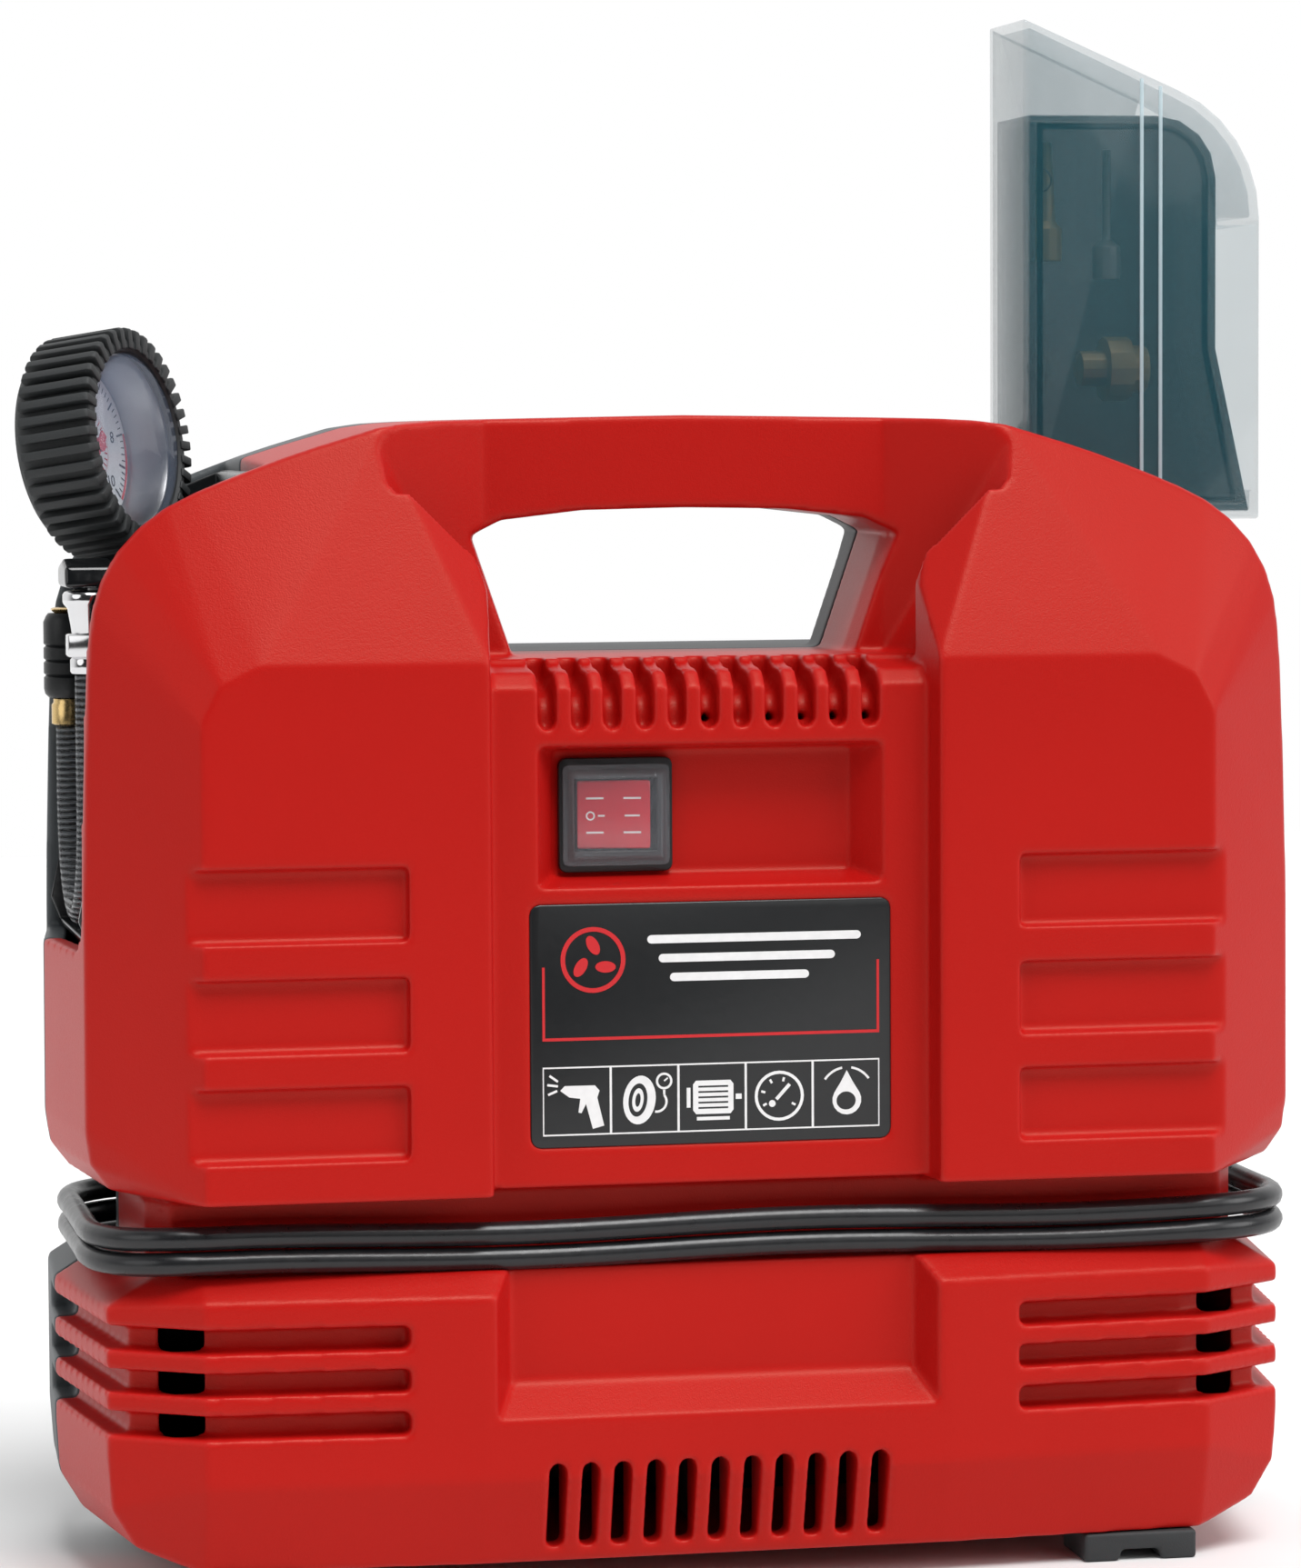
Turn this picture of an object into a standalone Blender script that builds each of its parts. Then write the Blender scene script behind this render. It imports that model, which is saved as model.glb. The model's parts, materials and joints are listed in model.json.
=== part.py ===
"""Portable air compressor: two moulded shells round an oil-free piston pump.

Frame: X to the right seen from the front, Y to the back, Z up, origin on the
floor under the middle of the machine. Sizes below are millimetres, and every
mesh is made in metres.
"""
import math

import bmesh
import bpy
import numpy as np
from mathutils import Matrix, Vector

MM = 0.001
GAP = 0.3                     # clearance between pieces that touch
RUN = 0.5                     # clearance round pieces that slide or turn

# ---- housing: overall ----
BODY_HALF_W = 162.0           # half width at the front edge of the flanks
FLARE = 6.0                   # the flanks widen by this much at the parting plane
HANDLE_TOP = 306.5
RIM_STEPS = 40                # points round half of the silhouette
FRONT_Y = -65.0               # plateau of the two front wings
EDGE_Y = -40.0                # where the front chamfer meets the flanks
PART_Y = 12.0                 # parting plane of the two shells
REAR_EDGE_Y = 52.0
REAR_Y = 65.0
WALL = 3.0
# ---- upper body ----
UPPER_BOTTOM = 105.0
WING_TOP = 243.0
WING_INNER = 59.5
WING_OUTER = 134.0
PANEL_Y = -56.0
PANEL_TOP = 240.0
PANEL_HALF = 56.0
# ---- handle and its opening ----
BAR_FRONT_Y = -24.0
BAR_REAR_Y = 26.0
BAR_UNDER = 282.0
OPEN_TOP_HALF = 56.0
OPEN_BOTTOM_HALF = 45.0
OPEN_FLARE = 10.0
OPEN_FLARE_Y = 27.0           # the opening is straight between -15 and this less 12
# ---- neck that the cord is wound on ----
NECK_HALF_W = 147.0
NECK_FRONT_Y = -47.0
NECK_REAR_Y = 47.0
NECK_BOTTOM = 85.0
# ---- base ----
BASE_BOTTOM = 8.0
BASE_HALF_W = 158.0
BASE_EDGE_Y = -45.0
BASE_SWEEP_Y = -60.0
BASE_CHAMFER = 6.0
FOOT_X = 117.0
FOOT_Y = 44.0
RECESS_HALF = 54.0
RECESS_DEPTH = 10.0
RECESS_SILL = 48.0
# ---- grips, grooves and vents ----
PAD_COUNT = 3
PAD_PITCH = 28.1
PAD_HEIGHT = 19.0
PAD_TOP = 191.0
PAD_DEPTH = 3.5
PAD_INNER = 81.0
GROOVE_COUNT = 3
GROOVE_PITCH = 11.1
GROOVE_HEIGHT = 6.2
GROOVE_TOP = 72.2
GROOVE_DEPTH = 6.0
GROOVE_INNER = 81.3
VENT_COUNT = 11
VENT_PITCH = 8.6
VENT_WIDTH = 4.6
VENT_BOTTOM = 225.0
VENT_REACH = 22.0
VENT_DEPTH = 6.0
LOW_VENT_TOP = 35.0
# ---- label and switch ----
LABEL_W = 96.4
LABEL_H = 63.6
LABEL_BOTTOM = 116.2
LABEL_THICK = 0.8
LABEL_SINK = 1.2
SWITCH_POCKET = (-47.0, 48.0, 184.5, 220.5)
SWITCH_FLOOR_Y = -45.0
BEZEL_W = 30.3
BEZEL_H = 30.0
BEZEL_THICK = 2.2
SWITCH_X = -23.6
SWITCH_Z = 202.3
ROCKER_W = 21.0
ROCKER_H = 19.0
ROCKER_TILT = 7.0
CAP_HEIGHT = 4.2
# ---- tool bay, left ----
BAY_INNER_X = -114.0
BAY_FLOOR = 168.0
BAY_FRONT_Y = -36.0
BAY_REAR_Y = 46.0
BAY_CORNER = 9.0
LINER_WALL = 2.2
# ---- accessory case, right ----
GUIDE_INNER_X = 101.0
GUIDE_FLOOR = 106.0
GUIDE_WALL = 1.8
WINDOW_SILL = 150.0
CASE_WALL = 2.0
CASE_TRAVEL = 124.0
CASE_TOP = 415.0
CASE_LEFT = 104.0
CASE_RIGHT = 172.0
CASE_FRONT_Y = 14.9
CASE_DEPTH = 36.2
TRAY_DROP = 26.3
TRAY_RIGHT = 160.0
CASE_LENGTH = 180.0
CASE_CURVE = 38.0
CASE_CURVE_DROP = 54.4
# ---- cord ----
CORD_D = 6.2
WIND_HALF_W = 164.0
WIND_HALF_D = 58.0
WIND_CORNER = 30.0
POCKET = (-128.0, 90.0, 35.0, 152.0)
# ---- housing screws, at the back ----
SCREW_R = 3.6
SCREW_DEEP = 3.0
SCREWS = ((-84.0, REAR_Y, 200.0), (84.0, REAR_Y, 200.0), (0.0, BAR_REAR_Y, 294.0))
# ---- motor and pump ----
MOTOR_R = 31.0
CRANK_Z = BASE_BOTTOM + WALL + MOTOR_R + 6.0
CRANK_THROW = 6.0
MOTOR_X = (-104.0, -34.0)
SHAFT_R = 4.0
ROTOR_R = 17.0
FAN_R = 28.0
FAN_X = (-126.0, -114.0)
ROD_X = 26.0
BORE_R = 20.0
CYL_BOTTOM = CRANK_Z + 40.0
CYL_TOP = CYL_BOTTOM + 58.0
# ---- inflator ----
GAUGE_R = 29.5
GAUGE_AT = (-152.0, 7.0, 270.0 + GAUGE_R)
GAUGE_TURN = 33.0             # degrees from +X towards the front
GAUGE_TILT = 8.0              # degrees up
GAUGE_DEEP = 25.0
RIB_COUNT = 40
DIAL_R = 22.0
GRIP_X = (-150.0, -128.0)
GRIP_Y = (-4.0, 18.0)
GRIP_Z = (186.0, 262.0)
PIN_R = 1.5                   # the trigger's pin
HOSE_D = 7.5
HOSE_X = -158.0
HOSE_FRONT_Y = -20.0
HOSE_REAR_Y = 36.0

SEG = 24                      # sides of a round piece


# ------------------------------------------------------------------ helpers

def material(name, colour, rough=0.5, metal=0.0, alpha=1.0):
    """A Principled material with one colour."""
    found = bpy.data.materials.get(name)
    if found:
        return found
    mat = bpy.data.materials.new(name)
    mat.use_nodes = True
    shader = mat.node_tree.nodes["Principled BSDF"]
    shader.inputs["Base Color"].default_value = (*colour, 1.0)
    shader.inputs["Roughness"].default_value = rough
    shader.inputs["Metallic"].default_value = metal
    shader.inputs["Alpha"].default_value = alpha
    return mat


RED = ("red_shell", (0.58, 0.008, 0.010), 0.42)
GREY = ("grey_shell", (0.075, 0.082, 0.085), 0.5)
BLACK = ("black_plastic", (0.012, 0.012, 0.013), 0.4)
RUBBER = ("black_rubber", (0.02, 0.021, 0.022), 0.7)
CORD = ("cord_sheath", (0.01, 0.01, 0.011), 0.3)
SMOKE = ("smoke_clear", (0.12, 0.25, 0.31), 0.1, 0.0, 0.35)
CLEAR = ("clear_plastic", (0.85, 0.88, 0.9), 0.05, 0.0, 0.3)
SIGNAL = ("signal_red", (0.55, 0.01, 0.02), 0.25)
STEEL = ("steel", (0.45, 0.45, 0.46), 0.35, 1.0)
CHROME = ("chrome", (0.75, 0.75, 0.76), 0.1, 1.0)
BRASS = ("brass", (0.72, 0.5, 0.2), 0.25, 1.0)
ALLOY = ("cast_alloy", (0.55, 0.56, 0.57), 0.45, 1.0)
COPPER = ("copper_winding", (0.65, 0.28, 0.12), 0.4, 1.0)
WHITE = ("dial_white", (0.8, 0.8, 0.78), 0.5)
HOSE = ("clear_hose", (0.6, 0.66, 0.7), 0.15, 0.0, 0.5)


def make(name, bm, finish, at=(0, 0, 0), smooth=None):
    """Turn a bmesh in millimetres into an object whose origin is at `at`."""
    bmesh.ops.translate(bm, vec=-Vector(at), verts=bm.verts)
    bmesh.ops.scale(bm, vec=(MM, MM, MM), verts=bm.verts)
    mesh = bpy.data.meshes.new(name)
    bm.to_mesh(mesh)
    bm.free()
    obj = bpy.data.objects.new(name, mesh)
    obj.location = Vector(at) * MM
    bpy.context.scene.collection.objects.link(obj)
    if finish:
        obj.data.materials.append(material(*finish))
    if smooth:
        mesh.shade_smooth()
        mesh.set_sharp_from_angle(angle=math.radians(smooth))
    return obj


def hull(points):
    """The convex solid round a set of points."""
    bm = bmesh.new()
    for point in points:
        bm.verts.new(point)
    bmesh.ops.convex_hull(bm, input=bm.verts)
    loose = [v for v in bm.verts if not v.link_faces]
    bmesh.ops.delete(bm, geom=loose, context="VERTS")
    bmesh.ops.recalc_face_normals(bm, faces=bm.faces)
    return bm


def box(x0, x1, y0, y1, z0, z1):
    """A block between two corners."""
    bm = bmesh.new()
    bmesh.ops.create_cube(bm, size=1.0)
    bmesh.ops.scale(bm, vec=(x1 - x0, y1 - y0, z1 - z0), verts=bm.verts)
    middle = ((x0 + x1) / 2, (y0 + y1) / 2, (z0 + z1) / 2)
    bmesh.ops.translate(bm, vec=middle, verts=bm.verts)
    return bm


def prism(outline, axis, low, high):
    """A flat outline extruded along an axis; the outline gives the other two
    coordinates in X, Y, Z order."""
    bm = bmesh.new()
    place = {
        "X": lambda u, v, w: (w, u, v),
        "Y": lambda u, v, w: (u, w, v),
        "Z": lambda u, v, w: (u, v, w),
    }[axis]
    face = bm.faces.new([bm.verts.new(place(u, v, low)) for u, v in outline])
    grown = bmesh.ops.extrude_face_region(bm, geom=[face])
    top = [g for g in grown["geom"] if isinstance(g, bmesh.types.BMVert)]
    step = Vector(place(0, 0, high - low))
    bmesh.ops.translate(bm, vec=step, verts=top)
    bmesh.ops.recalc_face_normals(bm, faces=bm.faces)
    return bm


def turned(profile, at=(0, 0, 0), axis=(0, 0, 1), seg=SEG):
    """A profile of (radius, height) points turned round an axis. A radius of
    zero closes the shape on its axis; without one the shape is a ring."""
    bm = bmesh.new()
    rings = []
    for radius, height in profile:
        if radius < 1e-6:
            rings.append([bm.verts.new((0, 0, height))])
            continue
        ring = []
        for k in range(seg):
            turn = 2 * math.pi * k / seg
            spot = (radius * math.cos(turn), radius * math.sin(turn), height)
            ring.append(bm.verts.new(spot))
        rings.append(ring)
    closed = len(rings[0]) > 1 and len(rings[-1]) > 1
    pairs = list(zip(rings, rings[1:]))
    if closed:
        pairs.append((rings[-1], rings[0]))
    for first, second in pairs:
        for k in range(seg):
            n = (k + 1) % seg
            if len(first) == 1 and len(second) == 1:
                continue
            if len(first) == 1:
                bm.faces.new((first[0], second[k], second[n]))
            elif len(second) == 1:
                bm.faces.new((first[k], first[n], second[0]))
            else:
                bm.faces.new((first[k], first[n], second[n], second[k]))
    bmesh.ops.recalc_face_normals(bm, faces=bm.faces)
    turn = Vector((0, 0, 1)).rotation_difference(Vector(axis)).to_matrix()
    bmesh.ops.rotate(bm, cent=(0, 0, 0), matrix=turn, verts=bm.verts)
    bmesh.ops.translate(bm, vec=at, verts=bm.verts)
    return bm


def rod(radius, low, high, at=(0, 0, 0), axis=(0, 0, 1), seg=SEG):
    """A solid cylinder between two heights on its axis."""
    return turned([(0, low), (radius, low), (radius, high), (0, high)], at, axis, seg)


def ring(inner, outer, low, high, at=(0, 0, 0), axis=(0, 0, 1), seg=SEG):
    """A plain ring or sleeve."""
    profile = [(inner, low), (outer, low), (outer, high), (inner, high)]
    return turned(profile, at, axis, seg)


def together(*parts):
    """Several meshes in one, which stay separate bodies."""
    bm = bmesh.new()
    for part in parts:
        mesh = bpy.data.meshes.new("part")
        part.to_mesh(mesh)
        part.free()
        bm.from_mesh(mesh)
        bpy.data.meshes.remove(mesh)
    return bm


def boolean(obj, bm, operation, name):
    """Cut a solid out of an object, or join it on, with a hidden helper."""
    helper = make(f"{obj.name}_{name}", bm, None)
    helper.hide_render = True
    helper.display_type = "WIRE"
    step = obj.modifiers.new(name, "BOOLEAN")
    step.operation = operation
    step.solver = "EXACT"
    step.object = helper
    return obj


def cut(obj, name, *parts):
    return boolean(obj, together(*parts), "DIFFERENCE", name)


def join(obj, name, part):
    return boolean(obj, part, "UNION", name)


def mirrored(points):
    """The points and their mirror images in the middle plane."""
    return [p for x, *rest in points for p in ((x, *rest), (-x, *rest))]


def arc(cx, cy, radius, start, end, steps):
    """Points on an arc, angles in degrees."""
    spots = []
    for k in range(steps + 1):
        turn = math.radians(start + (end - start) * k / steps)
        spots.append((cx + radius * math.cos(turn), cy + radius * math.sin(turn)))
    return spots


def round_rect(x0, x1, y0, y1, radius, steps=3):
    """A rectangle with round corners."""
    outline = []
    corners = ((x1, y0, -90), (x1, y1, 0), (x0, y1, 90), (x0, y0, 180))
    for x, y, start in corners:
        cx = x - radius if x == x1 else x + radius
        cy = y + radius if y == y0 else y - radius
        outline += arc(cx, cy, radius, start, start + 90, steps)
    return outline


def smooth_path(points, steps):
    """Points read at equal steps from a smooth curve through `points`."""
    ends = [Vector(p) for p in points]
    ends = [2 * ends[0] - ends[1]] + ends + [2 * ends[-1] - ends[-2]]
    fine = []
    for a, b, c, d in zip(ends, ends[1:], ends[2:], ends[3:]):
        for k in range(16):
            t = k / 16
            fine.append(0.5 * (2 * b + (c - a) * t + (2 * a - 5 * b + 4 * c - d) * t ** 2
                               + (3 * b - a - 3 * c + d) * t ** 3))
    fine.append(ends[-2])
    run = [0.0]
    for p, q in zip(fine, fine[1:]):
        run.append(run[-1] + (q - p).length)
    want = np.linspace(0, run[-1], steps + 1)
    cols = [np.interp(want, run, [p[i] for p in fine]) for i in range(3)]
    return list(zip(*cols))


def tube(name, points, diameter, finish, steps):
    """A round tube along a smooth route."""
    curve = bpy.data.curves.new(name, "CURVE")
    curve.dimensions = "3D"
    curve.bevel_depth = diameter / 2 * MM
    curve.bevel_resolution = 2
    curve.use_fill_caps = True
    spline = curve.splines.new("POLY")
    route = smooth_path(points, steps)
    spline.points.add(len(route) - 1)
    for spot, point in zip(spline.points, route):
        spot.co = (*[value * MM for value in point], 1.0)
    obj = bpy.data.objects.new(name, curve)
    bpy.context.scene.collection.objects.link(obj)
    curve.materials.append(material(*finish))
    return obj


# ------------------------------------------------------------------ housing

def shoulder(inset=0.0):
    """Right half of the upper silhouette, from the top down, as (x, z)."""
    w = BODY_HALF_W
    top = HANDLE_TOP
    rim = [
        (0, top), (w - 90, top - 1.5), (w - 72, top - 5), (w - 52, top - 11),
        (w - 24, top - 22.5), (w - 11, top - 33.5), (w - 5, top - 44.5),
        (w - 2, top - 63), (w, top - 124),
        (w, UPPER_BOTTOM + 30), (w, UPPER_BOTTOM + 13), (w - 4, UPPER_BOTTOM + 3),
        (w - 14, UPPER_BOTTOM),
    ]
    spots = []
    for x, _, z in smooth_path([(x, 0, z) for x, z in rim], RIM_STEPS):
        side = inset * min(1.0, max(0.0, (x - 60) / 90))
        lift = inset if z > UPPER_BOTTOM + 60 else -inset
        spots.append((x - side, z - lift))
    return spots


def flared(spots, y):
    """The silhouette's points at depth y, widened towards the parting plane."""
    grow = FLARE * (1 - abs(y - PART_Y) / (PART_Y - EDGE_Y)) / BODY_HALF_W
    return [(x * (1 + max(0.0, grow)), y, z) for x, z in spots]


def slab(y0, y1, inset=0.0):
    """The body's main block between two depths."""
    spots = shoulder(inset)
    return hull(mirrored(flared(spots, y0) + flared(spots, y1)))


def wing(side, inset=0.0):
    """One front wing: a flat plateau with facets back to the silhouette."""
    i = inset
    plateau = [
        (WING_INNER + i, UPPER_BOTTOM + i), (WING_INNER + i, WING_TOP - i),
        (WING_OUTER - 15 - i, WING_TOP - i), (WING_OUTER - 5 - i, WING_TOP - 5 - i),
        (WING_OUTER - i, WING_TOP - 15 - i), (WING_OUTER - i, UPPER_BOTTOM + i),
    ]
    points = [(x, FRONT_Y + i, z) for x, z in plateau]
    rim = [(x, z) for x, z in shoulder(i) if x > BODY_HALF_W - 80]
    points += [(x, EDGE_Y, z) for x, z in rim]
    points += [(x - 1.5, EDGE_Y + 6, z - 1.0 * (z > 200)) for x, z in rim]
    points += [(WING_INNER - 3.5 + i, EDGE_Y + 6, UPPER_BOTTOM + i)]
    points += [(WING_INNER - 5.5 + i, BAR_FRONT_Y + 2, HANDLE_TOP - 7 - i)]
    points += [(WING_INNER - 3.5 + i, EDGE_Y + 6, WING_TOP - i)]
    return hull([(side * x, y, z) for x, y, z in points])


def base_block(y_front, inset=0.0, depth=None):
    """The base between its front face and the parting plane."""
    i = inset
    top = NECK_BOTTOM - i
    low = BASE_BOTTOM + i
    w = BASE_HALF_W - i
    points = []
    for x, y in ((62.0, y_front + i), (WING_OUTER - i, BASE_SWEEP_Y + i)):
        points += [(x, y, top - BASE_CHAMFER), (x, y, low + 23), (x, y + 7, low)]
        points += [(x, y + 8, top)]
    for y, grow in ((BASE_EDGE_Y, 0.0), (depth or PART_Y, FLARE + 2.5)):
        points += [(w + grow, y, top - 8), (w + grow, y, low + 30)]
        points += [(w - 1 + grow, y, low + 16), (w - 7 + grow, y, low + 6)]
        points += [(w - 18 + grow, y, low + 1), (w - 28 + grow, y, low)]
        points += [(w - 13 + grow, y, top)]
    return hull(mirrored(points))


def opening(y0, y1, straight0, straight1):
    """The hand opening: straight in the middle, flared to the front or back."""
    def frame(y, grow):
        top = OPEN_TOP_HALF + grow
        low = OPEN_BOTTOM_HALF + grow
        return [
            (low, y, WING_TOP), (top, y, BAR_UNDER - 7), (top - 8, y, BAR_UNDER - 3),
            (top - 30, y, BAR_UNDER - 0.5), (0, y, BAR_UNDER),
        ]
    first = 0.0 if straight0 else OPEN_FLARE
    last = 0.0 if straight1 else OPEN_FLARE
    return hull(mirrored(frame(y0, first) + frame(y1, last)))


def bar_relief(side):
    """Material in front of or behind the handle bar, between the wings."""
    front = side < 0
    face = BAR_FRONT_Y if front else BAR_REAR_Y
    far = EDGE_Y - 6 if front else REAR_Y + 2
    low = WING_TOP
    half = WING_INNER - 5.5
    grow = 12.0
    points = [
        (half, face, low), (half, face, HANDLE_TOP + 6),
        (half + grow, far, low), (half + grow + 26, far, HANDLE_TOP + 6),
    ]
    return hull(mirrored(points))


def bay_window(y0, y1, radius, floor=BAY_FLOOR):
    """Space of the tool bay: open at the left flank and the top."""
    outline = [(y1, floor), (y1, 400.0), (y0, 400.0)]
    outline += arc(y0 + radius, floor + radius, radius, 180, 270, 3)
    return prism(outline, "X", -220.0, BAY_INNER_X)


def vents_top():
    """Blind slots round the panel's top front edge, each with a round foot."""
    half = VENT_WIDTH / 2
    floor_y = PANEL_Y + VENT_DEPTH
    floor_z = PANEL_TOP - VENT_DEPTH
    turn = 6.0
    side = [(PANEL_Y - 4.7, VENT_BOTTOM + half), (floor_y, VENT_BOTTOM + half)]
    side += arc(floor_y + turn, floor_z - turn, turn, 180, 90, 3)
    side += [(PANEL_Y + VENT_REACH, floor_z + 2.5), (PANEL_Y + VENT_REACH, PANEL_TOP + 8),
             (PANEL_Y - 4.7, PANEL_TOP + 8)]
    slots = []
    for k in range(VENT_COUNT):
        x = (k - (VENT_COUNT - 1) / 2) * VENT_PITCH
        slots.append(prism(side, "X", x - half, x + half))
    return slots


def vent_feet():
    """Round ends of the slots, and the air holes in those on the right."""
    ends = []
    holes = []
    for k in range(VENT_COUNT):
        x = (k - (VENT_COUNT - 1) / 2) * VENT_PITCH
        middle = (x, 0, VENT_BOTTOM + VENT_WIDTH / 2)
        deep = PANEL_Y + VENT_DEPTH - 0.04
        ends.append(rod(VENT_WIDTH / 2 - 0.04, PANEL_Y - 5, deep, middle, (0, 1, 0), 16))
        if k >= VENT_COUNT // 2:
            holes.append(rod(1.4, deep - 1, EDGE_Y + 4, middle, (0, 1, 0), 10))
    return ends, holes


def vents_low():
    """Slots through the base's lower front edge, each with a round top."""
    half = VENT_WIDTH / 2
    low = BASE_BOTTOM + WALL + 1
    slots = []
    for k in range(VENT_COUNT):
        x = (k - (VENT_COUNT - 1) / 2) * VENT_PITCH
        outline = [(x - half, low), (x + half, low)]
        outline += arc(x, LOW_VENT_TOP - half, half, 0, 180, 6)
        slots.append(prism(outline, "Y", FRONT_Y - 5, -50.0))
    return slots


def grooves(side, y_start):
    """Blind grooves round one end of the base."""
    made = []
    for k in range(GROOVE_COUNT):
        high = GROOVE_TOP - k * GROOVE_PITCH
        low = high - GROOVE_HEIGHT
        flank = BASE_HALF_W - GROOVE_DEPTH
        floor = BASE_SWEEP_Y + GROOVE_DEPTH
        if y_start < PART_Y:
            outline = [
                (GROOVE_INNER, FRONT_Y - 5), (GROOVE_INNER, floor - 2.5),
                (WING_OUTER - 6, floor), (flank, BASE_EDGE_Y + 2),
                (flank + FLARE + 2.5, PART_Y + 2), (190.0, PART_Y + 2),
                (190.0, FRONT_Y - 5),
            ]
        else:
            outline = [
                (flank + FLARE + 2.5, y_start - 2), (flank + FLARE + 1.5, y_start + 18),
                (190.0, y_start + 18), (190.0, y_start - 2),
            ]
        made.append(prism([(side * x, y) for x, y in outline], "Z", low, high))
    return made


def pads(side):
    """Three sunk grip fields on one wing."""
    made = []
    for k in range(PAD_COUNT):
        high = PAD_TOP - k * PAD_PITCH
        low = high - PAD_HEIGHT
        x = [PAD_INNER, WING_OUTER + 16]
        made.append(box(min(side * v for v in x), max(side * v for v in x),
                        FRONT_Y - 5, FRONT_Y + PAD_DEPTH, low, high))
    return made


def front_shell():
    obj = make("front_shell", slab(EDGE_Y, PART_Y), RED)
    join(obj, "wing_right", wing(1))
    join(obj, "wing_left", wing(-1))
    half = PANEL_HALF
    panel = hull(mirrored([
        (half + 2, PANEL_Y, UPPER_BOTTOM + 1), (half + 2, PANEL_Y, PANEL_TOP - 4),
        (half + 2, PANEL_Y + 4, PANEL_TOP), (half + 2, EDGE_Y + 4, PANEL_TOP + 2),
        (half + 2, EDGE_Y + 4, UPPER_BOTTOM + 1),
    ]))
    join(obj, "panel", panel)
    neck = hull(mirrored([
        (NECK_HALF_W - 6, NECK_FRONT_Y, 80), (NECK_HALF_W - 6, NECK_FRONT_Y, 112),
        (NECK_HALF_W, NECK_FRONT_Y + 10, 80), (NECK_HALF_W, NECK_FRONT_Y + 10, 112),
        (NECK_HALF_W + 2, PART_Y, 80), (NECK_HALF_W + 2, PART_Y, 112),
    ]))
    join(obj, "neck", neck)
    join(obj, "base", base_block(FRONT_Y))
    cut(obj, "bar_relief", bar_relief(-1))
    cut(obj, "hand_flare", opening(-70.0, -15.0, False, True))
    cut(obj, "hand_opening", opening(-16.0, PART_Y + 2, True, True))
    sill = RECESS_SILL
    recess = hull(mirrored([
        (RECESS_HALF, FRONT_Y + RECESS_DEPTH, sill + 7),
        (RECESS_HALF, FRONT_Y + RECESS_DEPTH, 95),
        (RECESS_HALF + 6, FRONT_Y - 2, sill - 3), (RECESS_HALF + 6, FRONT_Y - 2, 95),
    ]))
    cut(obj, "recess", recess)
    cut(obj, "cavity_base", base_cavity(PART_Y + 3))
    cut(obj, "cavity_neck", box(-NECK_HALF_W + 3, NECK_HALF_W - 3, NECK_FRONT_Y + 6,
                                PART_Y + 3, 70, 120))
    cut(obj, "cavity_upper", upper_cavity(-1))
    cut(obj, "cavity_shoulders", shoulder_cavity(1, -1), shoulder_cavity(-1, -1))
    cut(obj, "cavity_wings", wing_cavity(1), wing_cavity(-1))
    cut(obj, "cavity_bar", bar_cavity(BAR_FRONT_Y + WALL + 1, PART_Y + 3))
    cut(obj, "cavity_panel", box(4 - PANEL_HALF, PANEL_HALF - 4, PANEL_Y + LABEL_SINK + WALL,
                                 EDGE_Y + 2, UPPER_BOTTOM + WALL + 1, SWITCH_POCKET[2] - 5))
    cut(obj, "bay", bay_window(BAY_FRONT_Y, PART_Y + 4, BAY_CORNER))
    cut(obj, "pads", *pads(1), *pads(-1))
    cut(obj, "grooves", *grooves(1, 0.0), *grooves(-1, 0.0))
    cut(obj, "vents_top", *vents_top())
    ends, holes = vent_feet()
    cut(obj, "vent_ends", *ends)
    cut(obj, "vent_holes", *holes)
    cut(obj, "vents_low", *vents_low())
    x0, x1, z0, z1 = SWITCH_POCKET
    pocket = hull([
        (x0 + 7, SWITCH_FLOOR_Y, z0 + 2), (x1 - 9, SWITCH_FLOOR_Y, z0 + 2),
        (x0 + 7, SWITCH_FLOOR_Y, z1 - 1), (x1 - 9, SWITCH_FLOOR_Y, z1 - 1),
        (x0, PANEL_Y - 2, z0 - 1), (x1, PANEL_Y - 2, z0 - 1),
        (x0, PANEL_Y - 2, z1 + 0.5), (x1, PANEL_Y - 2, z1 + 0.5),
    ])
    cut(obj, "switch_pocket", pocket)
    cut(obj, "switch_hole", box(SWITCH_X - 12.5, SWITCH_X + 12.5, SWITCH_FLOOR_Y - 4,
                                SWITCH_FLOOR_Y + 8, SWITCH_Z - 11, SWITCH_Z + 11))
    half = LABEL_W / 2 + GAP
    label = round_rect(-half, half, LABEL_BOTTOM - GAP, LABEL_BOTTOM + LABEL_H + GAP, 3.0)
    cut(obj, "label_seat", prism(label, "Y", PANEL_Y - 4, PANEL_Y + LABEL_SINK))
    return obj


def base_cavity(y_open):
    """Hollow of the base; the walls clear the grooves and the recess."""
    inner = BASE_HALF_W - GROOVE_DEPTH - WALL
    front = FRONT_Y + RECESS_DEPTH + WALL + 1
    points = []
    for z in (BASE_BOTTOM + WALL + 12, NECK_BOTTOM - WALL):
        points += [(inner - 8, front, z), (inner, BASE_EDGE_Y + 6, z)]
        points += [(inner + FLARE, y_open, z)]
    low = BASE_BOTTOM + WALL
    points += [(inner - 20, front, low), (inner - 20, y_open, low)]
    return hull(mirrored(points))


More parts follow.
